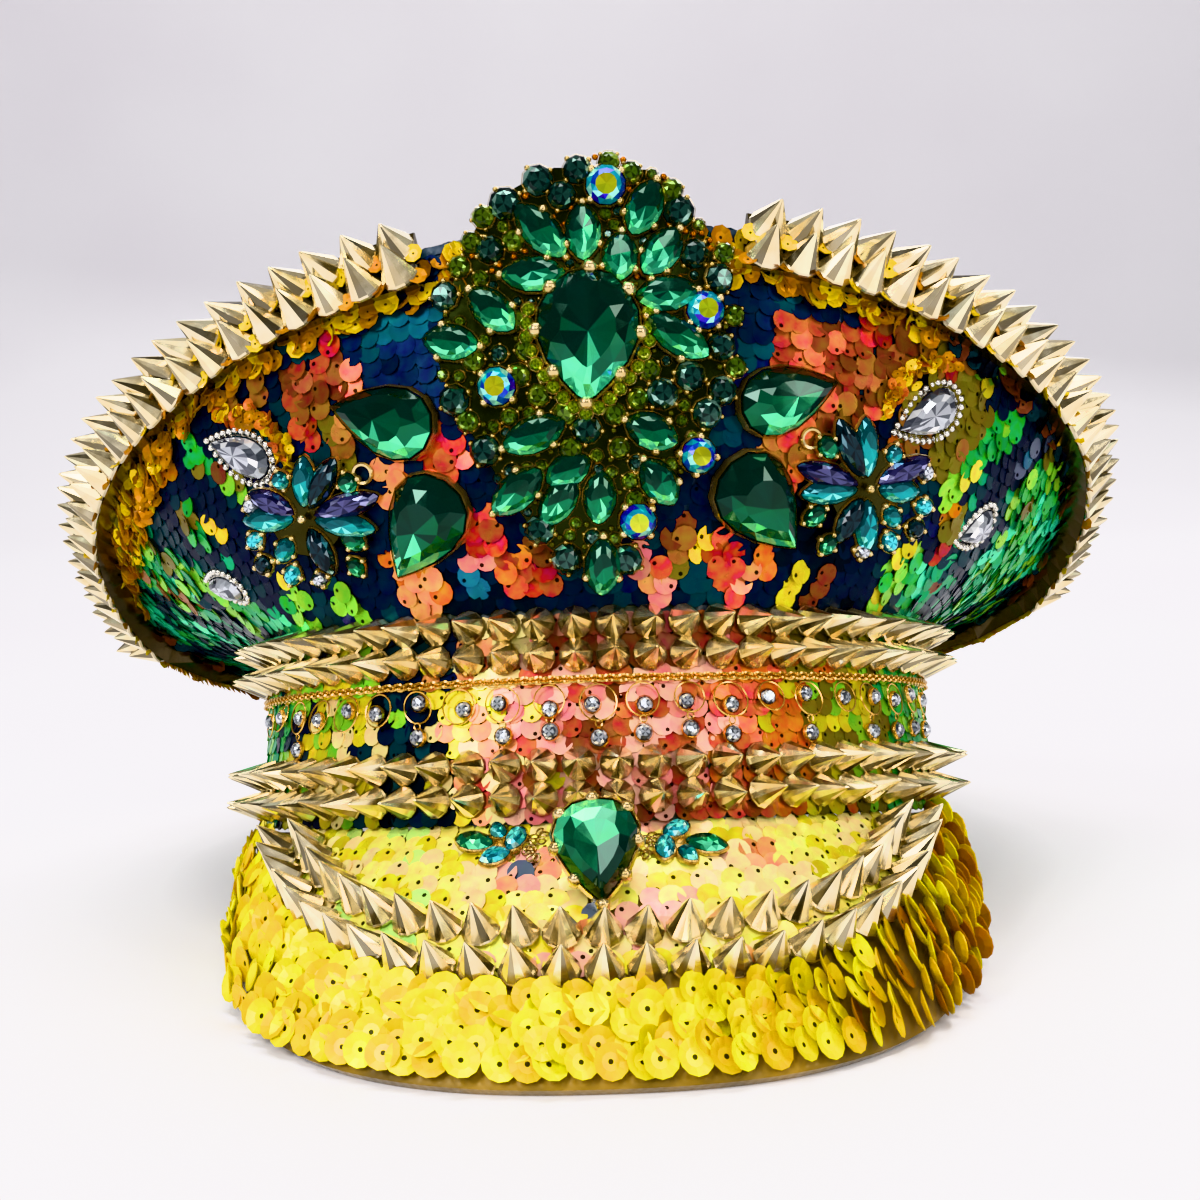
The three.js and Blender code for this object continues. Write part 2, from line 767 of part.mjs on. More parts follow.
function pendantDrop(i) {
  const { count, halfSpan, width, girdle, height, widestAt, highestAt } = pendants;
  const seat = bandSeat(lerp(-halfSpan, halfSpan, i / (count - 1)), chain.height);
  const drop = i % 2 ? pendants.longDrop : pendants.shortDrop;
  const kite = [[0, 0], [width / 2, -drop * widestAt], [0, -drop], [-width / 2, -drop * widestAt]];
  const layer = (lift) => kite.map(([across, up]) => vector(across, up, lift));
  const stone = loft([layer(CLEARANCE), layer(girdle), [vector(0, -drop * highestAt, height)]]);
  return stone.applyMatrix4(seatMatrix(seat));
}

function makeChain() {
  const tube = anglesRound(chain.steps).map((angle) => {
    const { point, out, up } = bandSeat(angle, chain.height);
    const middle = point.addScaledVector(out, CLEARANCE + chain.radius);
    return anglesRound(chain.sides).map((turn) => middle.clone()
      .addScaledVector(out, chain.radius * Math.cos(turn))
      .addScaledVector(up, chain.radius * Math.sin(turn)));
  });
  const drops = Array.from({ length: pendants.count }, (_, i) => pendantDrop(i));
  addPiece('band_chain', joined([loft(tube, true), ...drops]), finishes.goldChain());
}

// ---------- stones and their settings ----------

function seatMatrix({ point, right, up, out }, lift = 0, turn = 0) {
  return new THREE.Matrix4()
    .makeBasis(right, up, out)
    .setPosition(point.clone().addScaledVector(out, lift))
    .multiply(new THREE.Matrix4().makeRotationZ(turn));
}

// A stone's outline in its own plane, with its tip towards +X.
function marquiseOutline(length, width) {
  const corners = [[0.5, 0], [0.22, 0.5], [-0.22, 0.5], [-0.5, 0], [-0.22, -0.5], [0.22, -0.5]];
  return corners.map(([x, y]) => new THREE.Vector2(x * length, y * width));
}

function roundOutline(diameter, sides) {
  return anglesRound(sides).map((turn) => new THREE.Vector2(
    (diameter / 2) * Math.cos(turn),
    (diameter / 2) * Math.sin(turn),
  ));
}

function pearOutline(length, width, sides) {
  const fullest = 0.77; // the largest value of sin(turn) sin(turn / 2)
  return anglesRound(sides).map((turn) => new THREE.Vector2(
    (length / 2) * Math.cos(turn),
    ((width / 2) * Math.sin(turn) * Math.sin(turn / 2)) / fullest,
  ));
}

// An oval that is broader at its top than at its foot.
function shieldOutline(length, width, broadening, sides) {
  return anglesRound(sides).map((turn) => new THREE.Vector2(
    (width / 2) * Math.cos(turn) * (1 + broadening * Math.sin(turn)),
    (length / 2) * Math.sin(turn),
  ));
}

function layerOf(outline, lift, scale = 1) {
  return outline.map((corner) => vector(corner.x * scale, corner.y * scale, lift));
}

function gem(outline, height) {
  return loft([
    layerOf(outline, 0, cut.foot),
    layerOf(outline, height * cut.girdle),
    layerOf(outline, height, cut.table),
  ]);
}

function pointedStone(outline, height) {
  return loft([layerOf(outline, 0), [vector(0, 0, height)]]);
}

// A rim that runs round the outside of a stone.
function rimRound(outline, width, height) {
  const sections = outline.map((corner) => {
    const away = corner.clone().normalize();
    const inner = corner.clone().addScaledVector(away, CLEARANCE);
    const outer = corner.clone().addScaledVector(away, CLEARANCE + width);
    return [vector(inner.x, inner.y, 0), vector(inner.x, inner.y, height), vector(outer.x, outer.y, 0)];
  });
  return loft(sections, true);
}

// The seat of a place in the brooch's own plane.
function broochSeat(across, up) {
  const place = new THREE.Vector2(across, up).multiplyScalar(brooch.scale)
    .rotateAround(new THREE.Vector2(), brooch.lean);
  return crownSeatAt(brooch.across + place.x, brooch.rise + place.y);
}

function broochMatrix({ across, up, turn = 0 }, lift) {
  return seatMatrix(broochSeat(across, up), lift, degrees(turn) + brooch.lean);
}

const stoneLift = brooch.plateLift + brooch.plateThickness;

const smallOutline = ({ diameter, sides }) => roundOutline(diameter, sides);

// A stone that is one with the plate, and so is sunk a little into it.
function plateStone(place, outline, height) {
  const stone = pointedStone(outline, height + smallStones.sink);
  return stone.applyMatrix4(broochMatrix(place, stoneLift - smallStones.sink));
}

function makeBroochPlate() {
  const columns = [0, 0.25, 0.5, 0.75, 1];
  const rows = broochPlateRows.map(({ up, left, right }) => {
    const seats = columns.map((share) => broochSeat(lerp(left, right, share), up));
    const layer = (lift) => seats.map(({ point, out }) => point.clone().addScaledVector(out, lift));
    return [...layer(brooch.plateLift), ...layer(stoneLift).reverse()];
  });
  const { dark, olive, petal } = smallStones;
  const parts = [
    loft(rows),
    ...darkStones.map(([across, up]) => plateStone({ across, up }, smallOutline(dark), dark.height)),
    ...oliveStones.map(([across, up]) => plateStone({ across, up }, smallOutline(olive), olive.height)),
    ...lowerPetals.map((place) => (
      plateStone(place, marquiseOutline(place.length, marquiseWidth), petal.height))),
  ];
  addPiece('brooch_base', joined(parts), finishes.setting());
}

function makeBroochStones() {
  const { length, width, height, lift, broadening, sides } = mainStone;
  const shield = gem(shieldOutline(length, width, broadening, sides), height);
  const seat = broochMatrix({ across: 0, up: 0 }, stoneLift + CLEARANCE + lift);
  addPiece('brooch_main_stone', shield, finishes.emerald(), seat);
  marquises.forEach(({ length: stoneLength, ...place }, i) => {
    const stone = gem(marquiseOutline(stoneLength, marquiseWidth), marquiseHeight);
    const matrix = broochMatrix(place, stoneLift + CLEARANCE + marquiseLift);
    addPiece(`brooch_marquise_${i + 1}`, stone, finishes.emerald(), matrix);
  });
  roundStones.forEach(({ diameter, ...place }, i) => {
    const matrix = broochMatrix(place, stoneLift + CLEARANCE + marquiseLift);
    const stone = gem(roundOutline(diameter, roundStoneSides), roundStoneHeight);
    addPiece(`brooch_round_${i + 1}`, stone, finishes.iridescent(), matrix);
  });
}

function makeSetStones(rows, { stone, setting, height, sides, lift, stoneFinish, settingFinish }) {
  rows.forEach(({ name, across, rise, length, width, turn }) => {
    const outline = pearOutline(length, width, sides);
    const seat = seatMatrix(crownSeatAt(across, rise), lift, degrees(turn));
    addPiece(`${stone}_${name}`, gem(outline, height), stoneFinish(), seat);
    addPiece(`${setting}_${name}`, rimRound(outline, rim.width, rim.height), settingFinish(), seat);
  });
}

function makeFlower({ name, across, rise, petals, beads }) {
  const { lift, plateThickness, partLift, heart } = flower;
  const lean = -Math.sign(across) * flower.lean;
  const wallDepth = (x) => (lift - CLEARANCE - x * Math.sin(lean)) / Math.cos(lean);
  const plate = roundOutline(flower.plateRadius * 2, flower.plateSides);
  const parts = [loft([
    plate.map(({ x, y }) => vector(x, y, -wallDepth(x))),
    layerOf(plate, plateThickness),
  ])];
  petals.forEach(({ turn, reach }) => {
    const length = reach - heart;
    const petal = pointedStone(marquiseOutline(length, flower.petalWidth), flower.petalHeight);
    petal.translate(heart + length / 2, 0, partLift);
    parts.push(petal.rotateZ(degrees(turn)));
  });
  [[0, 0], ...beads].forEach(([x, y]) => {
    const bead = pointedStone(roundOutline(flower.beadWidth, flower.beadSides), flower.beadHeight);
    parts.push(bead.translate(x, y, partLift));
  });
  const matrix = seatMatrix(crownSeatAt(across, rise), lift)
    .multiply(new THREE.Matrix4().makeRotationY(lean));
  addPiece(name, joined(parts), finishes.teal(), matrix);
}

// The seat on the visor this far across from its middle and this far down from the band.
function visorSeatAt(across, down) {
  const angle = Math.asin(across / (band.halfWidth + down * visor.widening));
  const width = visorTopside(angle, 0).distanceTo(visorTopside(angle, 1));
  return visorSeat(angle, down / width);
}

function makeVisorGem() {
  const { length, width, height, sides, lean, lift, backing, footShare } = visorGem;
  const tip = length / 2;
  const outline = pearOutline(length, width, sides);
  const matrix = seatMatrix(visorSeatAt(visorGem.across, visorGem.tipDown), lift)
    .multiply(new THREE.Matrix4().makeRotationX(lean))
    .multiply(new THREE.Matrix4().makeTranslation(0, tip, 0))
    .multiply(new THREE.Matrix4().makeRotationZ(visorGem.turn));
  addPiece('visor_gem', gem(outline, height), finishes.emerald(), matrix);

  const back = CLEARANCE + backing;
  const foot = outline.map(({ x, y }) => (
    new THREE.Vector2(tip + (x - tip) * footShare, y * footShare)));
  const visorDepth = (x) => (
    (lift - visorGem.footGap) / Math.cos(lean) + (tip - x) * Math.tan(lean));
  const setting = joined([
    rimRound(outline, visorGem.rimWidth, visorGem.rimHeight + back).translate(0, 0, -back),
    loft([
      layerOf(outline, -back, visorGem.backingSpread),
      layerOf(outline, -CLEARANCE, visorGem.backingSpread),
    ]),
    loft([
      foot.map(({ x, y }) => vector(x, y, -visorDepth(x))),
      layerOf(foot, -CLEARANCE - backing / 2),
    ]),
  ]);
  addPiece('visor_gem_setting', setting, finishes.setting(), matrix);
}

function makeVisorCluster({ name, across, down, turn }) {
  const plate = roundOutline(cluster.plateWidth, cluster.plateSides);
  const stones = clusterStones.map((stone) => (
    pointedStone(marquiseOutline(stone.length, cluster.stoneWidth), cluster.stoneHeight)
      .rotateZ(degrees(stone.turn))
      .translate(stone.across, stone.up, cluster.stoneLift)));
  const whole = joined([loft([layerOf(plate, 0), layerOf(plate, cluster.plateThickness)]), ...stones]);
  const seat = seatMatrix(visorSeatAt(across, down), CLEARANCE + cluster.lift, degrees(turn));
  addPiece(name, whole, finishes.teal(), seat);
}

// ---------- build ----------

makeBand();
bandRows.forEach(makeBandSpikes);
makeCrownSide();
makeCrownTop();
makeCrownEdgeTrim();
makeEdgeSpikes();
makeVisor();
makeVisorTrim();
visorRows.forEach(makeVisorSpikes);
makeChain();
makeBroochPlate();
makeBroochStones();
makeSetStones(sideStones, {
  stone: 'side_stone',
  setting: 'side_setting',
  height: sideStoneHeight,
  sides: 10,
  lift: 0.4,
  stoneFinish: finishes.emerald,
  settingFinish: finishes.setting,
});
makeSetStones(crystals, {
  stone: 'crystal',
  setting: 'crystal_rim',
  height: crystalHeight,
  sides: 10,
  lift: 0.3,
  stoneFinish: finishes.clear,
  settingFinish: finishes.silver,
});
flowers.forEach(makeFlower);
makeVisorGem();
visorClusters.forEach(makeVisorCluster);

// The hat leans back on its rim and visor, and stands over the middle of its own outline.
hat.rotation.x = -RESTING_TILT;
const extent = new THREE.Box3().setFromObject(hat, true);
const centre = extent.getCenter(vector(0, 0, 0));
hat.position.set(-centre.x, -centre.y, -extent.min.z);

export default hat;
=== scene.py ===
"""The looks of a festival captain's hat: sequin cloth, gold spikes, a chain, and stones in settings.

Sizes are millimetres in the hat's own frame, where the band's rim lies in the plane z = 0, -Y is
the front and +X is the wearer's left. to_row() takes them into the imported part's frame, in metres.
"""

import math

import bpy
import numpy as np
from mathutils import Matrix, Vector


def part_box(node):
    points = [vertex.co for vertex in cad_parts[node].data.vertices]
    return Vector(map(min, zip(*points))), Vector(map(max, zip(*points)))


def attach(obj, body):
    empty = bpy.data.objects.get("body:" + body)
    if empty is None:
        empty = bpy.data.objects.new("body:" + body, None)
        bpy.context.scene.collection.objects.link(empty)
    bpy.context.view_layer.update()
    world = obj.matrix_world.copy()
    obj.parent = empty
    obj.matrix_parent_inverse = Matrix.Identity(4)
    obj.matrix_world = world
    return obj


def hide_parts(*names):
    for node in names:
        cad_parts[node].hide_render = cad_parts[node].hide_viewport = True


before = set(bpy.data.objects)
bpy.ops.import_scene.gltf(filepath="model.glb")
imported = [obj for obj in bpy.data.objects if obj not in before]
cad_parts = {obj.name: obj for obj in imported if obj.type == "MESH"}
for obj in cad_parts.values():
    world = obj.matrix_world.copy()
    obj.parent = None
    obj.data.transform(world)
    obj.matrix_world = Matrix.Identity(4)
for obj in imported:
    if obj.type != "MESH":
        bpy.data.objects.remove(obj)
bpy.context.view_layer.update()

# ---------- driving sizes ----------

# The walls, and the rows that the spikes stand on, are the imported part's. The cones on the crown's
# edge stand up to 4 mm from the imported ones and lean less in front, as in the photo.

CLEARANCE = 0.3
TILT = math.radians(12.6)
BAND = {"half_width": 88, "half_length": 98, "height": 48, "taper": 3, "wall": 2}
CROWN = {
    "half_width": 134, "half_length": 125, "set_back": 16, "wall": 2, "bulge": 4,
    "full_rise": 50, "side_tilt": 0.028, "top_middle": 86, "top_curve": 1.4,
}
# Height of the crown's edge above the band, every 15 degrees from the front to the back.
CROWN_EDGE_RISE = np.array([82, 79, 72.5, 63, 52.5, 41, 27, 12, 4, -1, -5, -8, -8], float)
VISOR = {
    "half_width": 89, "front_reach": 139, "side_reach": 20, "squareness": 2.5, "thickness": 2.5,
    "foot_inset": 3, "foot_drop": 2.7, "bulge": 3, "bulge_rise": 0.6,
    "end_angle": math.radians(88), "end_width": 0.1, "end_sharpness": 6, "widening": 0.1,
}
# Each row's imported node, and its height on the band.
BAND_ROWS = [
    ("band_spikes_1", 44.3), ("band_spikes_2", 37), ("band_spikes_3", 12.9), ("band_spikes_4", 5.4),
]
BAND_SPIKE_COUNT = 70
# The crown's edge carries two rows of cones. Each row's drop below the edge, its lift off the wall
# and its lean towards up, in degrees, are given at the front, and at the sides.
EDGE_ROW = {
    "start": math.radians(15.5), "last": math.radians(105), "each_side": 25, "plain_cells": 14,
}
EDGE_ROWS = {
    "crown_spikes_inner": {"drop": (3.7, 6), "lift": (3.3, 4.5), "lean": (36, 66)},
    "crown_spikes_outer": {"drop": (-3.2, 1.5), "lift": (3.3, 3), "lean": (34, 62)},
}
EDGE_STRIP_WIDTH = 7
# The trim of sequins under the edge starts and ends this far below it. It is widest at one angle
# round from the front, and narrows again within its reach, both in degrees.
EDGE_TRIM = {
    "top": 5.5, "bottom": 12, "wide_bottom": 21, "widest": -68, "reach": 16,
    "rows": 10, "across": 260, "first_row": 0.5, "row_gap": 2.3, "bright_between": (-95, 40),
}
# The rows on the visor: how far each reaches round from the front, in degrees, and its share of
# the way from the band to the visor's edge in the middle and at its ends.
VISOR_ROWS = {
    "visor_spikes_inner": {"span": 50, "middle": 0.48, "end": 0.09, "bend": 3.2, "count": 23},
    "visor_spikes_outer": {"span": 58, "middle": 0.62, "end": 0.12, "bend": 3.4, "count": 27},
}
VISOR_TRIM_TOP = {"span": 65, "middle": 0.71, "end": 0.1, "bend": 3.4}
CHAIN_HEIGHT = 31.6

# ---------- the hat's frame ----------

MM = 0.001


def hat_matrix():
    """The hat's own frame, in millimetres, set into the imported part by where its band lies."""
    low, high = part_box("hat_band")
    top_length = BAND["half_length"] - BAND["taper"]
    back_reach = top_length * math.cos(TILT) + BAND["height"] * math.sin(TILT)
    place = Vector((
        (low.x + high.x) / 2,
        high.y - back_reach * MM,
        low.z + BAND["half_length"] * math.sin(TILT) * MM,
    ))
    return Matrix.Translation(place) @ Matrix.Rotation(-TILT, 4, "X") @ Matrix.Scale(MM, 4)


HAT = np.array(hat_matrix())


def to_row(points):
    """Points of the hat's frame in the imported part's frame, in metres."""
    return points @ HAT[:3, :3].T + HAT[:3, 3]


# ---------- surfaces that the pieces lie on ----------

# How far apart the points are that a surface's directions are measured from.
SHORT_TURN = 0.01
SHORT_STEP = 0.004
SEARCH_STEPS = 12
FINE_STEPS = 600


def stack(x, y, z):
    return np.stack(np.broadcast_arrays(x, y, z), axis=-1).astype(float)


def unit(vectors):
    return vectors / np.linalg.norm(vectors, axis=-1, keepdims=True)


def lerp(start, end, share):
    return start + (end - start) * share


def band_point(angle, height, outward=0.0):
    inset = BAND["taper"] * height / BAND["height"]
    return stack(
        (BAND["half_width"] - inset + outward) * np.sin(angle),
        -(BAND["half_length"] - inset + outward) * np.cos(angle),
        height,
    )


def wrapped(angle):
    return np.arctan2(np.sin(angle), np.cos(angle))


def edge_rise(angle):
    """Height of the crown's edge above the band: a smooth curve through CROWN_EDGE_RISE."""
    last = len(CROWN_EDGE_RISE) - 1
    along = np.abs(wrapped(angle)) / math.pi * last
    step = np.minimum(along.astype(int), last - 1)
    t = along - step
    before, start, end, after = (
        CROWN_EDGE_RISE[np.clip(step + shift, 0, last)] for shift in (-1, 0, 1, 2)
    )
    leave, arrive = (end - before) / 2, (after - start) / 2
    cubic = 2 * start - 2 * end + leave + arrive
    square = 3 * end - 3 * start - 2 * leave - arrive
    rise = ((cubic * t + square) * t + leave) * t + start
    return rise + CROWN["side_tilt"] * CROWN["half_width"] * np.sin(angle)


def crown_edge(angle):
    return stack(
        CROWN["half_width"] * np.sin(angle),
        CROWN["set_back"] - CROWN["half_length"] * np.cos(angle),
        BAND["height"] + edge_rise(angle),
    )


def crown_wall(angle, share):
    """The crown's wall: share 0 is its foot on the band and share 1 its upper edge."""
    angle = np.asarray(angle, float)
    share = np.asarray(share, float)[..., None]
    foot = band_point(angle, BAND["height"]) + [0, 0, CLEARANCE]
    flare = crown_edge(angle) - foot
    along = crown_edge(angle + SHORT_TURN) - crown_edge(angle - SHORT_TURN)
    outward = unit(np.cross(along, flare))
    fullness = np.clip(edge_rise(angle) / CROWN["full_rise"], 0, 1)[..., None]
    swell = CROWN["bulge"] * fullness * np.sin(math.pi * np.minimum(share, 1))
    return foot + flare * share + outward * swell


def visor_underside(angle, share):
    """The visor's lower face: share 0 is its foot on the band and share 1 its outer edge."""
    angle = np.asarray(angle, float)
    share = np.asarray(share, float)[..., None]
    power = 2 / VISOR["squareness"]
    reach = VISOR["front_reach"] - VISOR["side_reach"]
    y = -VISOR["side_reach"] - reach * np.abs(np.cos(angle)) ** power
    x = VISOR["half_width"] * np.sign(np.sin(angle)) * np.abs(np.sin(angle)) ** power
    edge = stack(x, y, (y - BAND["half_length"]) * math.tan(TILT))
    foot = stack(
        (BAND["half_width"] - VISOR["foot_inset"]) * np.sin(angle),
        -(BAND["half_length"] - VISOR["foot_inset"]) * np.cos(angle),
        -VISOR["foot_drop"],
    )
    narrowing = (np.abs(angle) / VISOR["end_angle"]) ** VISOR["end_sharpness"]
    width = (1 - (1 - VISOR["end_width"]) * narrowing)[..., None]
    swell = VISOR["bulge"] * width * 4 * share * (1 - share)
    outward = unit(stack(np.sin(angle), -np.cos(angle), VISOR["bulge_rise"]))
    return lerp(foot, edge, share * width) + outward * swell


class Seats:
    """Places on a surface: a point each, with the directions right, up and out of it."""

    def __init__(self, point, right, up, out):
        self.point, self.right, self.up, self.out = (
            np.atleast_2d(v).astype(float) for v in (point, right, up, out)
        )

    def __len__(self):
        return len(self.point)

    def __getitem__(self, which):
        return Seats(self.point[which], self.right[which], self.up[which], self.out[which])

    def moved(self, across=0.0, up=0.0, out=0.0):
        across, up, out = (np.reshape(v, (-1, 1)) for v in (across, up, out))
        point = self.point + self.right * across + self.up * up + self.out * out
        return Seats(point, self.right, self.up, self.out)

    def _spun(self, a, b, angle):
        angle = np.reshape(angle, (-1, 1))
        c, s = np.cos(angle), np.sin(angle)
        return a * c + b * s, b * c - a * s

    def turned(self, angle):
        """Turned about out, in radians, anticlockwise as seen from outside."""
        right, up = self._spun(self.right, self.up, angle)
        return Seats(self.point, right, up, self.out)

    def leaning(self, up=0.0, right=0.0):
        """Leaning so that out turns towards up and towards right, in radians."""
        out, upward = self._spun(self.out, self.up, up)
        out, rightward = self._spun(out, self.right, right)
        return Seats(self.point, rightward, upward, out)

    def ruffled(self, rng, up, right):
        """Leaning at random, up and right, by a mean and a spread each."""
        count = len(self)
        return self.leaning(up=rng.normal(*up, count), right=rng.normal(*right, count))

    def outside_in(self):
        """The same places seen from the surface's other side."""
        return Seats(self.point, self.right, -self.up, -self.out)


def seats_on(surface, angle, share):
    at = lambda turn, rise: surface(np.asarray(angle) + turn, np.asarray(share) + rise)
    right = unit(at(SHORT_STEP, 0) - at(-SHORT_STEP, 0))
    rising = unit(at(0, SHORT_STEP) - at(0, -SHORT_STEP))
    out = unit(np.cross(right, rising))
    return Seats(at(0, 0), right, np.cross(out, right), out)


def visor_topside(angle, share):
    below = seats_on(visor_underside, angle, share)
    shape = np.broadcast_shapes(np.shape(angle), np.shape(share)) + (3,)
    return (below.point - below.out * VISOR["thickness"]).reshape(shape)


def visor_seats(angle, share):
    return seats_on(visor_topside, angle, share).outside_in()


def crown_seats_at(across, rise):
    """Seats on the crown's wall this far across from the middle, and this high above the band."""
    across, rise = np.atleast_1d(across).astype(float), np.atleast_1d(rise).astype(float)
    angle = np.zeros_like(across)
    for _ in range(SEARCH_STEPS):
        share = (rise - CLEARANCE) / (edge_rise(angle) - CLEARANCE)
        half_width = lerp(BAND["half_width"] - BAND["taper"], CROWN["half_width"], share)
        angle = np.arcsin(np.clip(across / half_width, -1, 1))
    return seats_on(crown_wall, angle, share)


def share_below_edge(angle, distance):
    length = np.linalg.norm(crown_wall(angle, 0) - crown_wall(angle, 1), axis=-1)
    return 1 - distance / length


def crown_lip(angle):
    """The corner of the top panel's rim, which laps over the wall's end."""
    edge = seats_on(crown_wall, angle, np.ones_like(angle))
    return edge.moved(up=CLEARANCE + CROWN["wall"], out=-CLEARANCE).point


def top_panel(angle, share):
    """The top panel: share 0 is its middle and share 1 its rim."""
    share = np.asarray(share, float)
    over = crown_lip(np.ravel(angle)).reshape(np.shape(angle) + (3,))
    middle = np.array([0, CROWN["set_back"], CROWN["top_middle"]], float)
    point = lerp(middle, over, share[..., None])
    point[..., 2] = lerp(middle[2], over[..., 2], share ** CROWN["top_curve"])
    return point


def row_share(row, angle):
    """A visor row's share of the way from the band to the visor's edge."""
    far = np.minimum(np.abs(angle) / math.radians(row["span"]), 1)
    return lerp(row["middle"], row["end"], far ** row["bend"])


def even_steps(point_at, start, end, steps):
    """Angles that divide a curve into steps of the same length."""
    fine = np.linspace(start, end, FINE_STEPS + 1)
    lengths = np.linalg.norm(np.diff(point_at(fine), axis=0), axis=1)
    travelled = np.concatenate([[0], np.cumsum(lengths)])
    return np.interp(np.linspace(0, travelled[-1], steps + 1), travelled, fine)


# ---------- small shapes, and many copies of them in one mesh ----------

# A shape is (points, faces, shades): faces as tuples of point numbers, and for each face the
# colour's brightness, one or one for each corner, or None where it is the same all over.


def circle(radius, sides, turn=0.0):
    angles = turn + 2 * math.pi * np.arange(sides) / sides
    return np.stack([radius * np.cos(angles), radius * np.sin(angles)], axis=1)


def flat_ring(outline, height):
    return np.column_stack([outline, np.full(len(outline), height)])


def bridge(first, second, count):
    """Faces between two rings of the same number of points, which start at these numbers."""
    following = [(i, (i + 1) % count) for i in range(count)]
    return [(first + i, first + j, second + j, second + i) for i, j in following]


def lofted(rings, lid=True):
    """Points and faces of a closed shape through rings of points, with a foot and a lid."""
    sides = len(rings[0])
    last = (len(rings) - 1) * sides
    faces = [tuple(range(sides))[::-1]]
    for start in range(0, last, sides):
        faces += bridge(start, start + sides, sides)
    if lid:
        faces.append(tuple(range(last, last + sides)))
    return np.concatenate(rings), faces


def turned_shape(profile, sides):
    """A closed shape turned about its own out axis. The profile is (radius, height) pairs from
    the bottom to the tip; it closes with a flat foot and a point or a flat top."""
    rings = [flat_ring(circle(radius, sides), height) for radius, height in profile if radius > 0]
    pointed = profile[-1][0] == 0
    points, faces = lofted(rings, lid=not pointed)
    if pointed:
        last, tip = len(points) - sides, len(points)
        points = np.vstack([points, [0, 0, profile[-1][1]]])
        faces += [(last + i, last + (i + 1) % sides, tip) for i in range(sides)]
    return points, faces, None


# How bright a sequin is in its hole, near black as painted shade and dark thread, and on its back.
HOLE_SHADE = 0.03
FLAT_BACK_SHADE, CUPPED_BACK_SHADE = 0.8, 0.7


def sequin_shape(radius, sides, hole=0.1, off_centre=0.6, thickness=0.22, back_share=0.97):
    """A flat sequin with its hole near one edge: a small pit, painted dark for shade and thread."""
    holes = sides // 2
    outer = flat_ring(circle(radius, sides), 0)
    middle = flat_ring(circle(radius * hole * 2, holes) + [0, off_centre * radius], 0)
    rings = [outer, middle, middle - [0, 0, thickness / 2]]
    points = np.vstack(rings + [outer * [back_share, back_share, 1] - [0, 0, thickness]])
    start, pit, back = sides, sides + holes, sides + 2 * holes
    faces = []
    for i in range(holes):
        j = (i + 1) % holes
        faces.append((2 * i, 2 * i + 1, start + i))
        faces.append((2 * i + 1, (2 * i + 2) % sides, start + j, start + i))
        faces.append((start + i, start + j, pit + j, pit + i))
    faces.append(tuple(range(pit, pit + holes)))
    faces += bridge(back, 0, sides)
    faces.append(tuple(range(back, back + sides))[::-1])
    return points, faces, [1.0] * 3 * holes + [HOLE_SHADE] + [FLAT_BACK_SHADE] * (sides + 1)


def cupped_sequin(radius, sides, cup=0.17, floor=0.5, hole=0.15, thickness=0.07):
    """A sequin with a flat floor, a slanted brim in facets, and its hole in the middle. All its
    measures but the radius are shares of that."""
    levels = [
        (1.0, cup), (floor, 0), (hole, 0), (hole, -0.5 * thickness),
        (0.96, cup - thickness), (floor, -thickness),
    ]
    points = np.vstack([
        flat_ring(circle(radius * share, sides), height * radius) for share, height in levels
    ])
    faces, shades = [], []
    # Painted shade: the brim a little darker than the floor, and the hole's wall near black.
    for level, brightness in enumerate((0.88, 1.0, 0.1)):
        faces += bridge(level * sides, (level + 1) * sides, sides)
        shades += [brightness] * sides
    faces.append(tuple(range(3 * sides, 4 * sides)))
    faces += bridge(4 * sides, 0, sides) + bridge(5 * sides, 4 * sides, sides)
    faces.append(tuple(range(5 * sides, 6 * sides))[::-1])
    return points, faces, shades + [HOLE_SHADE] + [CUPPED_BACK_SHADE] * (2 * sides + 1)


def ring_shape(radius, wire, around, sides=5, oval=1.0):
    """A closed ring of round wire in the seat's own plane, longer across by oval."""
    centres = circle(radius, around)
    points = []
    for centre in centres:
        away = np.append(unit(centre), 0)
        for x, y in circle(wire, sides):
            points.append(np.append(centre, 0) + away * x + [0, 0, y])
    faces = []
    for i in range(around):
        j = (i + 1) % around
        faces += [
            (i * sides + k, j * sides + k, j * sides + (k + 1) % sides, i * sides + (k + 1) % sides)
            for k in range(sides)
        ]
    return np.array(points) * [oval, 1, 1], faces, None


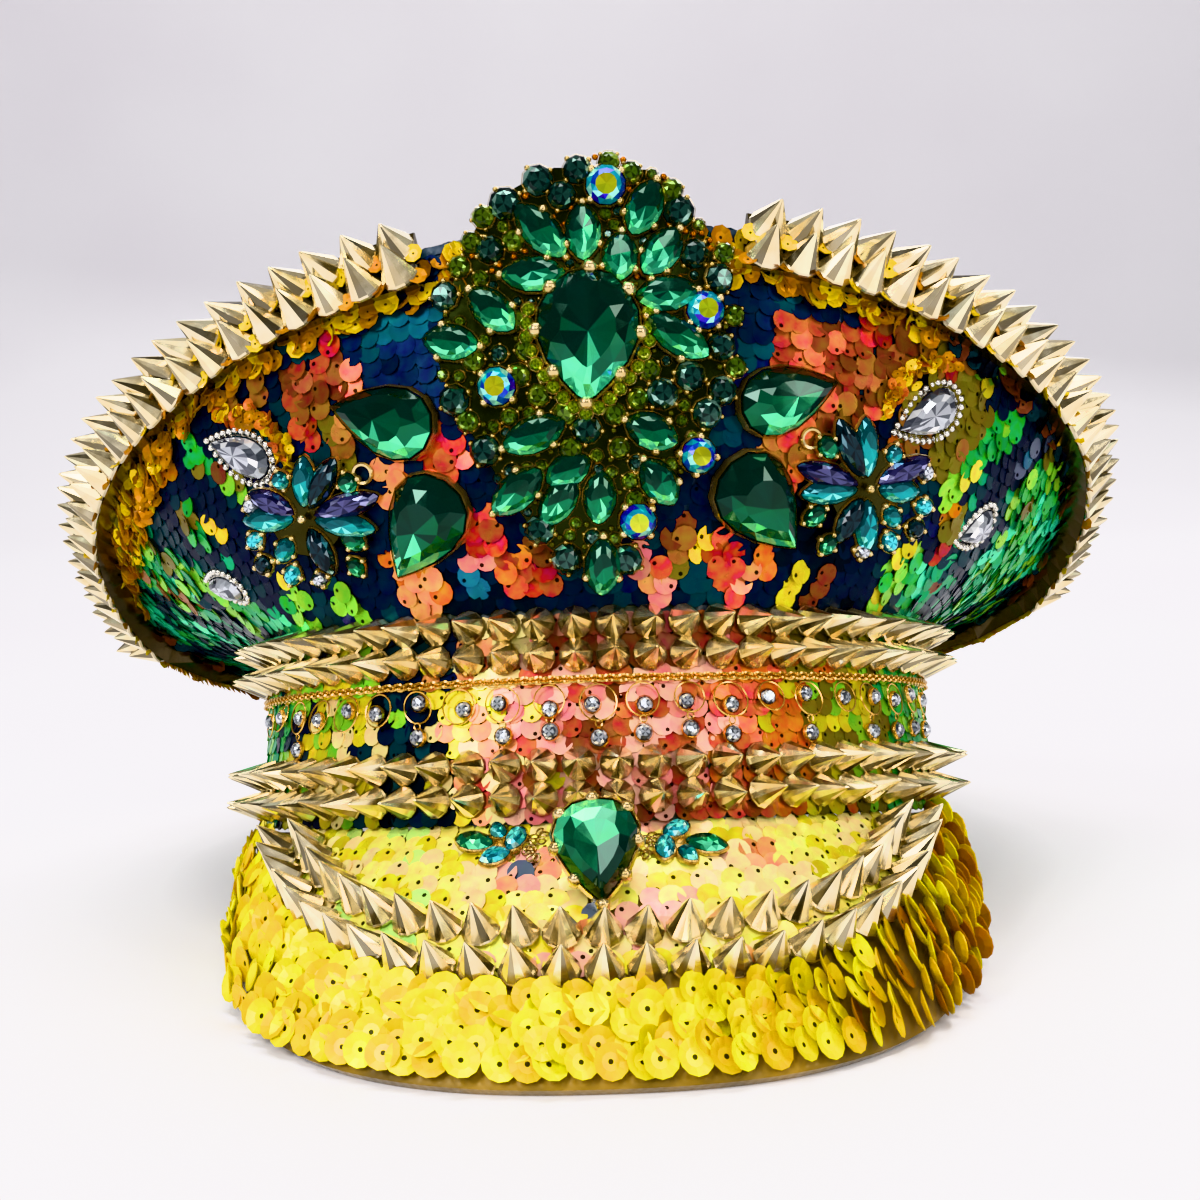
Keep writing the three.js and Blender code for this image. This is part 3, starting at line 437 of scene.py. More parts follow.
class Gathering:
    """Copies of small shapes, which become one mesh. Each copy has its own colour."""

    def __init__(self):
        self.points, self.faces, self.colours, self.count = [], {}, {}, 0

    def add(self, shape, seats, colours=(1, 1, 1), scale=1.0):
        points, faces, shades = shape
        size = np.broadcast_to(np.reshape(scale, (-1, 1, 1)), (len(seats), 1, 1))
        local = points[None] * size
        placed = seats.point[:, None] + (
            local[..., :1] * seats.right[:, None]
            + local[..., 1:2] * seats.up[:, None]
            + local[..., 2:] * seats.out[:, None]
        )
        self.points.append(placed.reshape(-1, 3))
        starts = self.count + len(points) * np.arange(len(seats))
        colours = np.broadcast_to(np.asarray(colours, float), (len(seats), 3))
        for face, shade in zip(faces, shades or [1.0] * len(faces)):
            corners = np.broadcast_to(np.asarray(shade, float), (len(face), 3))
            self.faces.setdefault(len(face), []).append(starts[:, None] + np.array(face))
            self.colours.setdefault(len(face), []).append(colours[:, None] * corners)
        self.count += len(points) * len(seats)

    def piece(self, name, look, stands_for=(), smooth_below=None):
        """The mesh object. Edges flatter than smooth_below, in degrees, are smoothed over."""
        finish, slot = look
        points = to_row(np.concatenate(self.points))
        mesh = bpy.data.meshes.new(name)
        mesh.vertices.add(len(points))
        mesh.vertices.foreach_set("co", points.astype(np.float32).ravel())
        groups = [(size, np.concatenate(self.faces[size])) for size in sorted(self.faces)]
        sizes = np.concatenate([np.full(len(group), size) for size, group in groups])
        mesh.loops.add(int(sizes.sum()))
        corners = np.concatenate([group.ravel() for _, group in groups])
        mesh.loops.foreach_set("vertex_index", corners.astype(np.int32))
        mesh.polygons.add(len(sizes))
        starts = np.concatenate([[0], np.cumsum(sizes)[:-1]])
        mesh.polygons.foreach_set("loop_start", starts.astype(np.int32))
        mesh.update(calc_edges=True)
        tint = mesh.color_attributes.new("tint", "FLOAT_COLOR", "CORNER")
        colours = np.concatenate([
            np.concatenate(self.colours[size]).reshape(-1, 3) for size, _ in groups
        ])
        opaque = np.column_stack([colours, np.ones(len(colours))])
        tint.data.foreach_set("color", opaque.astype(np.float32).ravel())
        mesh.polygons.foreach_set("use_smooth", np.full(len(sizes), bool(smooth_below)))
        if smooth_below:
            mesh.set_sharp_from_angle(angle=math.radians(smooth_below))
        thing = bpy.data.objects.new(name, mesh)
        bpy.context.scene.collection.objects.link(thing)
        mesh.materials.append(finish)
        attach(thing, "root")
        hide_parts(*stands_for)
        return thing


def one_piece(name, look, shape, seats, colours=(1, 1, 1), scale=1.0, **settings):
    """A piece that holds copies of one shape."""
    gathering = Gathering()
    gathering.add(shape, seats, colours, scale)
    return gathering.piece(name, look, **settings)


def grid_faces(rows, columns, closed_across):
    """Faces of a grid of points, closed in its columns where it loops."""
    return [
        (r * columns + c, r * columns + d, (r + 1) * columns + d, (r + 1) * columns + c)
        for r in range(rows - 1)
        for c, d in ((c, (c + 1) % columns) for c in range(columns if closed_across else columns - 1))
    ]


HERE = Seats([[0, 0, 0]], [[1, 0, 0]], [[0, 1, 0]], [[0, 0, 1]])
CLOTH_SMOOTH_BELOW = 50


def cloth(name, outside, inside, closed_across, look, stands_for):
    """A wall of cloth between two grids of points: its face, its back, and the edges between."""
    rows, columns = outside.shape[:2]
    points = np.concatenate([outside, inside[::-1]]).reshape(-1, 3)
    faces = grid_faces(2 * rows + 1, columns, closed_across)
    faces = [tuple(i % len(points) for i in face) for face in faces]
    if not closed_across:
        for column, turn in ((0, 1), (columns - 1, -1)):
            for r in range(rows - 1):
                row_numbers = (r, r + 1, 2 * rows - 2 - r, 2 * rows - 1 - r)
                faces.append(tuple(number * columns + column for number in row_numbers)[::turn])
    piece = one_piece(name, look, (points, faces, None), HERE,
                      stands_for=stands_for, smooth_below=CLOTH_SMOOTH_BELOW)
    return piece


# ---------- finishes ----------


def linear(red, green, blue):
    """A colour as it looks on a screen, 0 to 255, as the renderer's own numbers."""
    share = np.array([red, green, blue], float) / 255
    return np.where(share <= 0.04045, share / 12.92, ((share + 0.055) / 1.055) ** 2.4)


class Finish:
    """A material in the making: values on its shader's own sockets, and nodes that feed them."""

    def __init__(self, name, **values):
        self.material = bpy.data.materials.new(name)
        self.material.use_nodes = True
        self.tree = self.material.node_tree
        self.shader = self.tree.nodes["Principled BSDF"]
        for socket, value in values.items():
            self.shader.inputs[socket.replace("_", " ")].default_value = value

    def node(self, kind, values=(), **settings):
        """A node with its settings, and its inputs as values or as other nodes' outputs."""
        node = self.tree.nodes.new("ShaderNode" + kind)
        for setting, value in settings.items():
            setattr(node, setting, value)
        for socket, value in dict(values).items():
            if isinstance(value, bpy.types.NodeSocket):
                self.tree.links.new(value, node.inputs[socket])
            else:
                node.inputs[socket].default_value = value
        return node

    def feed(self, socket, output):
        self.tree.links.new(output, self.shader.inputs[socket])
        return self

    def noise(self, size_mm):
        """Soft noise with patches of about this size."""
        place = self.node("TexCoord").outputs["Object"]
        values = {"Vector": place, "Scale": 1 / (size_mm * MM), "Detail": 2.0}
        return self.node("TexNoise", values).outputs["Fac"]

    def between(self, share, low, high):
        """Noise, which lies mostly between 0.3 and 0.7, spread from low to high."""
        values = {"Value": share, "To Min": low, "To Max": high, "From Min": 0.3, "From Max": 0.7}
        return self.node("MapRange", values).outputs["Result"]

    def tinted(self, hue_shift, size_mm=3.0):
        """Takes each copy's own colour, with a little drift of hue across it."""
        colour = self.node("Attribute", attribute_name="tint").outputs["Color"]
        drift = self.between(self.noise(size_mm), 0.5 - hue_shift, 0.5 + hue_shift)
        shifted = self.node("HueSaturation", {"Hue": drift, "Color": colour})
        return self.feed("Base Color", shifted.outputs["Color"])

    def painted(self, share, first, second):
        """A base colour between two, by a share."""
        ramp = self.node("ValToRGB", {"Fac": share})
        ramp.color_ramp.elements[0].position = 0.35
        ramp.color_ramp.elements[1].position = 0.65
        for element, colour in zip(ramp.color_ramp.elements, (first, second)):
            element.color = (*linear(*colour), 1)
        return self.feed("Base Color", ramp.outputs["Color"])

    def times_tint(self):
        """Darkens the base colour by each copy's own tint, which on the cones is painted shade and
        reflection.
        """
        painted = self.shader.inputs["Base Color"].links[0].from_socket
        tint = self.node("Attribute", attribute_name="tint").outputs["Color"]
        product = self.node("VectorMath", {0: painted, 1: tint}, operation="MULTIPLY")
        return self.feed("Base Color", product.outputs["Vector"])

    def rough(self, low, high, size_mm):
        return self.feed("Roughness", self.between(self.noise(size_mm), low, high))

    def raised(self, height, depth_mm, strength):
        values = {"Height": height, "Distance": depth_mm * MM, "Strength": strength}
        return self.feed("Normal", self.node("Bump", values).outputs["Normal"])

    def bumpy(self, size_mm, depth_mm, strength=0.5):
        return self.raised(self.noise(size_mm), depth_mm, strength)


WEAVE_MM = 6.5  # the size of the cloth's weave


def cloth_finish(name, first, second):
    finish = Finish(name, Metallic=0.2, Sheen_Weight=0.3)
    finish.painted(finish.noise(14), first, second).rough(0.35, 0.6, 4)
    values = {"Vector": finish.node("TexCoord").outputs["Object"], "Scale": 1 / (WEAVE_MM * MM)}
    threads = [
        finish.node("TexWave", values, bands_direction=direction).outputs["Fac"]
        for direction in ("X", "Z")
    ]
    weave = finish.node("Math", enumerate(threads), operation="MULTIPLY").outputs["Value"]
    return finish.raised(weave, 0.2, 0.6).material


def metal_finish(name, first, second, low, high, patch=5, dent=0.015):
    """Polished metal between two colours, with its roughness from low to high."""
    finish = Finish(name, Metallic=0.92)
    finish.painted(finish.noise(patch), first, second).rough(low, high, patch / 2).bumpy(2, dent)
    return finish.times_tint().material


def sequin_finish(name, metallic, low, high, hue_shift, shine):
    """Shiny film in each sequin's own colour, with its roughness from low to high."""
    finish = Finish(name, Metallic=metallic, Specular_IOR_Level=shine)
    return finish.tinted(hue_shift).rough(low, high, 4).bumpy(1.6, 0.06, 0.4).material


def stone_finish(name, metallic, hue_shift=0.012, painted_glow=0.0):
    """Foiled glass in each facet's own colour, which also emits it a little as a painted glow."""
    finish = Finish(
        name, Metallic=metallic, IOR=1.6, Coat_Weight=0.2, Coat_Roughness=0.02,
        Emission_Strength=painted_glow,
    )
    finish.tinted(hue_shift, 6).rough(0.04, 0.12, 5)
    own_colour = finish.shader.inputs["Base Color"].links[0].from_socket
    return finish.feed("Emission Color", own_colour).material


FILM = sequin_finish("iridescent_sequin", 0.45, 0.24, 0.4, 0.025, 0.04)
# The cut stones emit their own colour a little, as a painted glow.
GLASS = stone_finish("cut_stone", 0.75, painted_glow=0.1)
FOILED_GLASS = stone_finish("foiled_stone", 0.6, 0.03)

# Each look is a finish, and the record's slot that it stands for.
CROWN_CLOTH = (cloth_finish("crown_cloth", (3, 16, 48), (2, 52, 70)), "crown_fabric")
BAND_CLOTH = (cloth_finish("band_cloth", (10, 24, 40), (40, 50, 24)), "band_fabric")
VISOR_CLOTH = (cloth_finish("visor_cloth", (96, 74, 14), (140, 108, 20)), "visor_fabric")
CROWN_SEQUIN, BAND_SEQUIN, VISOR_SEQUIN = (
    (FILM, f"{part}_fabric") for part in ("crown", "band", "visor")
)
GOLD_SEQUIN = (sequin_finish("gold_sequin", 0.4, 0.34, 0.5, 0.01, 0.2), "gold_sequin")
SPIKE_GOLD, CHAIN_GOLD, SETTING_GOLD, RIM_SILVER = (
    (metal_finish(name, first, second, low, high), slot) for name, first, second, low, high, slot in (
        ("spike_gold", (246, 224, 174), (255, 240, 204), 0.12, 0.24, "gold_spike"),
        ("chain_gold", (206, 158, 76), (232, 190, 108), 0.15, 0.28, "gold_chain"),
        ("setting_gold", (190, 164, 108), (220, 198, 148), 0.14, 0.3, "gold_setting"),
        ("rim_silver", (200, 196, 186), (228, 226, 220), 0.1, 0.2, "silver_rim"),
    )
)
EMERALD_STONE, TEAL_STONE = (GLASS, "emerald_stone"), (GLASS, "teal_stone")
CLEAR_STONE, IRIDESCENT_STONE = (FOILED_GLASS, "clear_stone"), (FOILED_GLASS, "iridescent_stone")

# ---------- colours of the sequins ----------

COLOURS = {
    name: linear(*screen) for name, screen in {
        "navy": (2, 15, 40), "ink": (2, 8, 20), "teal": (0, 42, 52), "blue": (2, 18, 62),
        "sky": (36, 92, 116), "salmon": (158, 74, 50), "coral": (190, 82, 58),
        "pink": (216, 128, 114), "red": (160, 46, 36), "orange": (196, 104, 46),
        "peach": (222, 146, 90), "tan": (140, 92, 48), "brown": (112, 60, 38),
        "olive": (112, 100, 38), "yellow": (206, 192, 50), "lime": (128, 196, 60),
        "green": (44, 160, 66), "emerald": (6, 144, 88), "aqua": (72, 214, 158),
        "amber": (180, 118, 6), "gold": (236, 200, 8), "sun": (250, 234, 6),
        "pale": (246, 236, 110), "cream": (250, 224, 146), "rose": (232, 172, 146),
        "slate": (84, 92, 108), "mint": (190, 230, 120),
    }.items()
}

# Patches of colour on the crown: the middle's angle round from the front in degrees and its height
# above the band, how far the patch reaches, and its colours. Towards the wearer's right:
CROWN_PATCHES = [
    (-26, 63, 3, "red"), (-31, 52, 5.5, "salmon brown"), (-26.5, 54, 6.5, "salmon brown salmon"),
    (-37, 54, 3, "tan"), (-41, 52, 4, "tan orange"), (-31, 48, 3.5, "tan"),
    (-33, 42.5, 4, "coral red"), (-29, 41, 6, "tan olive"), (-49, 42, 4, "green olive"),
    (-56, 42, 5, "amber olive"), (-47, 38, 3, "brown"), (-45, 34, 4, "lime olive"),
    (-70, 37, 9, "amber olive gold"), (-81, 31, 8, "amber olive"), (-69, 31, 3, "lime"),
    (-57, 28, 6, "green olive"), (-53, 25, 3, "gold"), (-79, 26, 5, "lime emerald"),
    (-71, 24, 5, "lime olive green"), (-94, 16, 13, "emerald teal aqua"),
    (-80, 16, 9, "lime tan green emerald"), (-68, 15, 8, "emerald green lime"),
    (-72, 7, 9, "teal navy lime"), (-48, 8.5, 4.5, "yellow lime"), (-52, 4, 5, "lime green"),
    (-39, 4, 5, "orange lime"), (-26, 8, 8.5, "peach orange peach"), (-23, 29, 6, "orange peach"),
    (-17, 35, 6, "red coral salmon"), (-15, 17, 6, "salmon coral red"),
    (-15.5, 12, 4, "pink peach"), (-17, 6, 3, "sky teal"), (-11, 9, 6, "coral orange salmon"),
    (-7.5, 6, 4, "red salmon"), (-6, 14, 5, "brown salmon"),
    # towards the wearer's left
    (7.5, 8, 4, "pink peach"), (10, 10, 4, "salmon coral"), (9, 4.5, 4, "peach pink"),
    (12.4, 15, 4.5, "brown tan"), (13, 8, 4, "yellow olive lime"), (15.5, 11.5, 3.5, "tan gold"),
    (15, 6, 3.5, "teal"), (18, 12, 4, "red coral"), (21, 6, 5, "pink peach coral"),
    (26, 11, 3.5, "orange gold"), (30, 5.5, 5, "lime yellow"), (36, 4.5, 4.5, "brown orange"),
    (22, 58, 6.5, "salmon"), (28, 56, 7, "salmon salmon brown"),
    (25, 50, 10, "salmon salmon brown"), (31.5, 48, 9, "salmon brown tan"),
    (29, 39, 9, "salmon brown tan"), (24, 33, 8, "salmon coral tan"), (31, 62, 3.5, "red brown"),
    (35, 57, 8, "brown tan olive"), (37, 63, 3, "gold"), (41, 61, 4, "lime olive"),
    (45, 59, 3.5, "gold"), (47.5, 56, 5, "lime yellow"), (42, 55.5, 3, "red"),
    (44, 50, 10, "olive olive tan"), (48, 40, 10, "olive tan olive"), (40, 42, 8, "tan olive"),
    (38.5, 37, 3.5, "orange"), (57, 54, 3.5, "blue"), (55, 43.5, 6, "lime green"),
    (51, 38, 5, "lime green"), (67, 47, 3, "gold"), (66, 43, 4, "olive slate"),
    (62, 38.5, 4, "slate sky"), (69, 34, 9, "lime green olive"), (76, 38, 6, "lime green"),
    (51.5, 30, 5.5, "yellow lime"), (55, 22, 5.5, "amber olive"),
    (84, 28, 13, "emerald green aqua"), (76, 21, 12, "emerald aqua green lime"),
    (92, 13, 13, "emerald aqua lime green"), (107, 15, 10, "emerald teal lime"),
    (99, 23, 4, "teal navy"), (51, 8, 9.5, "lime green lime yellow"), (57, 14.5, 3, "red"),
    (63, 9, 6, "brown teal emerald"),
    # round the back
    (140, 22, 20, "emerald aqua teal"), (-150, 20, 22, "emerald teal green"),
    (-118, 24, 10, "tan salmon"), (118, 26, 10, "olive lime"), (176, 28, 14, "brown salmon"),
]

# The heights on the band between which its sequins lie open to the light, and how bright they are
# painted above and below those, as painted shade between the spikes.
STRIP = (17, 33)
SHADE_ABOVE_STRIP, SHADE_BELOW_STRIP = 0.3, 0.5
# The band's colours change round it: the angle where each mix is at its purest.
BAND_PATCHES = [
    (-180, "teal emerald navy"), (-150, "green lime teal"), (-120, "emerald navy teal"),
    (-92, "gold olive yellow"), (-70, "emerald lime green"), (-54, "lime yellow teal navy"),
    (-42, "yellow cream lime"), (-29, "navy ink teal"), (-18, "cream peach yellow"),
    (-9, "pink rose salmon"), (2, "salmon pink rose brown"), (12, "rose pink salmon"),
    (23, "orange salmon"), (34, "orange olive yellow"), (45, "yellow lime olive"),
    (60, "green lime green"), (74, "emerald lime"), (92, "gold olive yellow"),
    (120, "teal navy emerald"), (150, "lime green teal"), (180, "teal emerald navy"),
]


def picked(rng, names, shape):
    """A random one of the named colours for each, a little lighter or darker each time."""
    palette = np.array([COLOURS[name] for name in names.split()])
    chosen = palette[rng.integers(len(palette), size=shape)]
    return np.clip(chosen * rng.uniform(0.82, 1.18, (shape, 1)), 0, 1)


# How far a degree round the crown is, about.
MM_PER_DEGREE = 2.2
# Limits that no drift goes beyond.
ALL_BELOW, ALL_ABOVE = -9, 9


def paint(colours, rng, inside, names):
    """Gives each of the sequins inside a random one of the named colours."""
    colours[inside] = picked(rng, names, int(inside.sum()))


def paint_drifts(colours, rng, drift, steps, where=True):
    """Paints the sequins whose drift lies between two limits, for each (low, high, names)."""
    for low, high, names in steps:
        paint(colours, rng, where & (drift > low) & (drift < high), names)


def bent_wave(along, length, bend, across, bend_length, start=0.0):
    """A wave along one direction, bent by another wave across it."""
    return np.sin(along / length + bend * np.sin(across / bend_length + start))


def dark_film(rng, first, second):
    """The colours of plain film: navy, ink, teal and blue in drifts over two directions."""
    drift = bent_wave(first, 17, 1.3, second, 13) + 0.6 * np.sin(second / 7 + first / 23)
    drift = drift + rng.normal(0, 0.12, len(drift))
    colours = picked(rng, "navy", len(drift))
    paint_drifts(colours, rng, drift, [
        (ALL_BELOW, -0.8, "ink navy"), (0.5, 0.85, "teal navy"), (0.85, 1.25, "teal"),
        (1.25, ALL_ABOVE, "blue navy"),
    ])
    return colours


# Where the ruffles lie: from this many degrees round, and below this height, which falls with
# each degree more.
RUFFLES = {"start": 55, "top": 34, "fall": 0.12}


def ruffled_film(rng, colours, degrees, rise):
    """Bright green and aqua ruffles on the crown's lower sides, between the dark ones."""
    waves = np.sin(degrees / 5 + rise / 6 + 1.5 * np.sin(rise / 9)) + rng.normal(0, 0.35, len(degrees))
    past = np.abs(degrees) - RUFFLES["start"]
    inside = (past > 0) & (rise < RUFFLES["top"] - RUFFLES["fall"] * past)
    paint_drifts(colours, rng, waves, where=inside, steps=[
        (ALL_BELOW, -0.5, "teal navy"), (-0.5, 0.35, "emerald teal"),
        (0.35, ALL_ABOVE, "emerald aqua green"),
    ])


def crown_colours(rng, angle, rise):
    """Each sequin's colour on the crown, and whether it belongs to a patch on the film."""
    degrees = np.degrees(wrapped(angle))
    colours = dark_film(rng, degrees * MM_PER_DEGREE, rise)
    ruffled_film(rng, colours, degrees, rise)
    best = np.zeros(len(angle))
    for middle, height, reach, names in CROWN_PATCHES:
        away = np.hypot((degrees - middle) * MM_PER_DEGREE, rise - height)
        nearness = 1 - away / reach + rng.normal(0, 0.06, len(angle))
        paint(colours, rng, nearness > best, names)
        best = np.maximum(best, nearness)
    return colours, best > 0


def band_colours(rng, angle, height):
    """The band's colours, with painted shade between the spikes, above and below the chain's strip."""
    degrees = np.degrees(wrapped(angle)) + rng.normal(0, 3, len(angle))
    middles = np.array([middle for middle, _ in BAND_PATCHES])
    nearest = np.abs(degrees[:, None] - middles).argmin(axis=1)
    colours = np.empty((len(angle), 3))
    for i, (_, names) in enumerate(BAND_PATCHES):
        paint(colours, rng, nearest == i, names)
    low, high = STRIP
    # Painted shade between the spikes, above and below the open strip.
    colours[height > high] *= SHADE_ABOVE_STRIP
    colours[height < low] *= SHADE_BELOW_STRIP
    return colours


# ---------- walls of cloth ----------


def offset(surface, angle, share, distance):
    seats = seats_on(surface, angle.ravel(), share.ravel())
    return (seats.point + seats.out * distance).reshape(angle.shape + (3,))


def round_the_hat(levels, steps=192):
    """A grid of angles all the way round, by levels."""
    return np.meshgrid(2 * math.pi * np.arange(steps) / steps, levels)


def make_walls():
    angle, share = round_the_hat(np.linspace(0, 1, 25))
    face = crown_wall(angle, share)
    back = offset(crown_wall, angle, share, -CROWN["wall"])
    cloth("crown_wall_cloth", face, back, True, CROWN_CLOTH, ["crown_side"])

    angle, share = round_the_hat(np.linspace(0.004, 1, 30))
    face = top_panel(angle, share)
    back = face - [0, 0, CROWN["wall"]]
    cloth("crown_top_cloth", face, back, True, CROWN_CLOTH, ["crown_top"])

    angle, height = round_the_hat(np.linspace(0, BAND["height"], 13))
    face, back = (band_point(angle, height, outward) for outward in (0.0, -BAND["wall"]))
    cloth("band_cloth", face, back, True, BAND_CLOTH, ["hat_band"])

    reach = VISOR["end_angle"]
    angle, share = np.meshgrid(np.linspace(-reach, reach, 121), np.linspace(0, 1, 17))
    face, back = visor_topside(angle, share), visor_underside(angle, share)
    cloth("visor_cloth", face, back, False, VISOR_CLOTH, ["visor"])


# ---------- sequins ----------

SEQUIN = sequin_shape(2.7, 12)
GOLD_CUP = cupped_sequin(3.7, 12)
SMALL_CUP = cupped_sequin(2.6, 8)
FIRST_ROW = 0.6  # where the first row lies, as a share of the gap between rows
ROW_SCATTER = 0.12  # how far a sequin strays along its row, as a share of the gap


def joined(rows):
    """The angles of all the rows in one list, and their shares or drops in another."""
    return (np.concatenate(values) for values in zip(*rows))


def sown_rows(rng, surface, height, row_gap, gap, reach=math.pi):
    """Angles and shares of rows of sequins, with every other row set half a step along. height(angle)
    is the wall's own height in millimetres, and the gaps are the steps up it and along it."""
    rows = []
    for row in range(int(float(height(np.linspace(-reach, reach, 200)).max()) / row_gap)):
        share_at = lambda angle: (row + FIRST_ROW) * row_gap / height(angle)
        fine = np.linspace(-reach, reach, 400)
        steps = np.diff(surface(fine, np.minimum(share_at(fine), 1)), axis=0)
        length = np.linalg.norm(steps, axis=1).sum()
        count = int(length / gap)
        at = -reach + 2 * reach * (np.arange(count) + 0.5 * (row % 2)) / count
        at = at + rng.normal(0, ROW_SCATTER * gap / length * (2 * reach), count)
        inside = share_at(at) < 1
        rows.append((at[inside], share_at(at)[inside]))
    return joined(rows)


STAND_OFF = 0.7  # how far a sequin's middle is from the cloth
SPREAD, LOOSE_SPREAD = 0.2, 0.7  # how much farther it may be, and how much more a loose one may
LOOSE_TURN = 2.0
LOOSE_GROWTH = 0.06


def sow(name, seats, colours, rng, look, lean=0.14, scatter=0.07, turn=0.4, size=1.0, loose=0.0):
    """Sequins on these seats, with their lower edges standing off the cloth. The loose ones stand
    farther off it, and are turned all ways."""
    count = len(seats)
    loose = np.broadcast_to(np.asarray(loose, float), count)
    scatter = scatter * (0.5 + loose)
    seats = seats.moved(out=STAND_OFF + rng.uniform(0, SPREAD + LOOSE_SPREAD * loose, count))
    seats = seats.ruffled(rng, up=(lean, scatter), right=(0, scatter))
    seats = seats.turned(rng.normal(0, turn + LOOSE_TURN * loose, count))
    scale = (size + LOOSE_GROWTH * loose) * rng.uniform(0.95, 1.03, count)
    return one_piece(name, look, SEQUIN, seats, colours, scale)


def wall_length(angle):
    return np.linalg.norm(crown_wall(angle, 1) - crown_wall(angle, 0), axis=-1)


def make_crown_sequins():
    rng = np.random.default_rng(11)
    angle, share = sown_rows(rng, crown_wall, wall_length, row_gap=3.3, gap=4.5)
    seats = seats_on(crown_wall, angle, share)
    colours, patched = crown_colours(rng, angle, seats.point[:, 2] - BAND["height"])
    for side, inside in (("right", angle < 0), ("left", angle >= 0)):
        sow(f"crown_sequins_{side}", seats[inside], colours[inside], rng, CROWN_SEQUIN,
            loose=patched[inside])


# The rings of sequins on the top, as shares of the way to its rim, and the gap along each.
TOP_RINGS = np.arange(0.03, 0.985, 0.035)
TOP_GAP, FEWEST_IN_RING = 4.6, 6


def make_top_sequins():
    """Rings of sequins on the top, with green and brown drifts on its dark film."""
    rng = np.random.default_rng(12)
    rings = []
    for share in TOP_RINGS:
        around = 2 * math.pi * share * (CROWN["half_width"] + CROWN["half_length"]) / 2
        count = max(int(around / TOP_GAP), FEWEST_IN_RING)
        angles = 2 * math.pi * (np.arange(count) + rng.uniform()) / count
        rings.append((angles, np.full(count, share)))
    seats = seats_on(top_panel, *joined(rings)).outside_in()
    x, y = seats.point[:, 0], seats.point[:, 1]
    colours = dark_film(rng, x, y)
    mottle = bent_wave(x, 37, 1.9, y, 29, 0.6) + 0.8 * bent_wave(y, 21, 1.6, x, 25, 2)
    mottle = mottle + 0.3 * np.sin((x + y) / 9) + rng.normal(0, 0.22, len(seats))
    paint_drifts(colours, rng, mottle, [
        (0.9, 1.3, "emerald teal"), (1.3, ALL_ABOVE, "emerald green lime"),
        (ALL_BELOW, -1.35, "brown salmon tan"),
    ])
    sow("crown_sequins_top", seats, colours, rng, CROWN_SEQUIN, loose=np.abs(mottle) > 1.3)


def make_band_sequins():
    rng = np.random.default_rng(13)
    height = lambda angle: np.full(np.shape(angle), float(BAND["height"]))
    surface = lambda angle, share: band_point(angle, share * BAND["height"])
    angle, share = sown_rows(rng, surface, height, row_gap=3.8, gap=4.3)
    inside = share < 0.95
    angle, height = angle[inside], share[inside] * BAND["height"]
    colours = band_colours(rng, angle, height)
    seats = seats_on(band_point, angle, height)
    sow("band_sequins", seats, colours, rng, BAND_SEQUIN, scatter=0.1, turn=2.0)


# Where sequins are sown on the visor: its width in millimetres that their rows are laid out on,
# how far round they reach past the inner spikes, and how near the band.
VISOR_SOWN = {"width": 64.0, "past_spikes": 0.1, "from_band": 0.03}


def make_visor_sequins():
    """Pale sequins inside the visor's spikes, rose and slate in the middle and mint on the right."""
    rng = np.random.default_rng(14)
    width = lambda angle: np.full(np.shape(angle), VISOR_SOWN["width"])
    inner, outer = VISOR_ROWS.values()
    angle, share = sown_rows(rng, visor_topside, width, row_gap=3.9, gap=4.5, reach=1.15)
    reach = math.radians(inner["span"]) + VISOR_SOWN["past_spikes"]
    inside = (share < row_share(outer, angle)) & (np.abs(angle) < reach)
    inside = inside & (share > VISOR_SOWN["from_band"])
    angle, share = angle[inside], share[inside]
    seats = visor_seats(angle, share)
    colours = picked(rng, "pale pale yellow cream", len(angle))
    across = seats.point[:, 0]
    mottle = np.sin(across / 9 + 0.7) * np.cos(share * 14) + rng.normal(0, 0.3, len(angle))
    middle = np.exp(-((across - 2) / 34) ** 2)
    paint(colours, rng, mottle * middle > 0.2, "rose cream peach")
    paint(colours, rng, mottle * middle > 0.62, "slate rose")
    paint(colours, rng, (across < -38) & (mottle > 0.1), "mint pale")
    sow("visor_sequins", seats, colours, rng, VISOR_SEQUIN,
        lean=-0.2, scatter=0.16, turn=2.5, size=1.12)


# The visor's border: its rows, the sequins along each, the share of the visor's edge that it
# reaches round, and the lowest row's share of the way out. On the wearer's left it is painted
# darker, as painted shade, from an angle in degrees.
BORDER = {"rows": 5, "across": 66, "reach": 0.98, "lowest": 0.93, "darker_from": 34}


def make_visor_border():
    """Layered rows of cupped gold sequins on the visor's border, all leaning to the wearer's left."""
    rng = np.random.default_rng(15)
    reach, across = VISOR["end_angle"] * BORDER["reach"], BORDER["across"]
    rows = []
    for row in range(BORDER["rows"]):
        down = row / (BORDER["rows"] - 1)
        share_at = lambda angle: lerp(row_share(VISOR_TRIM_TOP, angle), BORDER["lowest"], down)
        even = even_steps(lambda angle: visor_topside(angle, share_at(angle)), -reach, reach, across)
        at = even[:-1] + (0.5 * (row % 2) + rng.normal(0, 0.2, across)) * np.diff(even)
        rows.append((at, share_at(at)))
    angle, share = joined(rows)
    count = len(angle)
    colours = picked(rng, "sun sun gold", count)
    # On the wearer's left the gold is painted darker, as painted shade where the sequins turn edge-on.
    in_painted_shade = np.degrees(angle) + rng.normal(0, 8, count) > BORDER["darker_from"]
    paint(colours, rng, in_painted_shade, "gold sun gold amber")
    lean = rng.normal(0.36, 0.12, count) + 0.34 * np.sin(angle)
    seats = visor_seats(angle, share).moved(out=1.5 + rng.uniform(0, 1.6, count))
    seats = seats.leaning(up=rng.normal(-0.2, 0.16, count), right=lean)
    one_piece("visor_border_sequins", GOLD_SEQUIN, GOLD_CUP, seats, colours,
              rng.uniform(1.0, 1.12, count), stands_for=["visor_sequin_trim"])


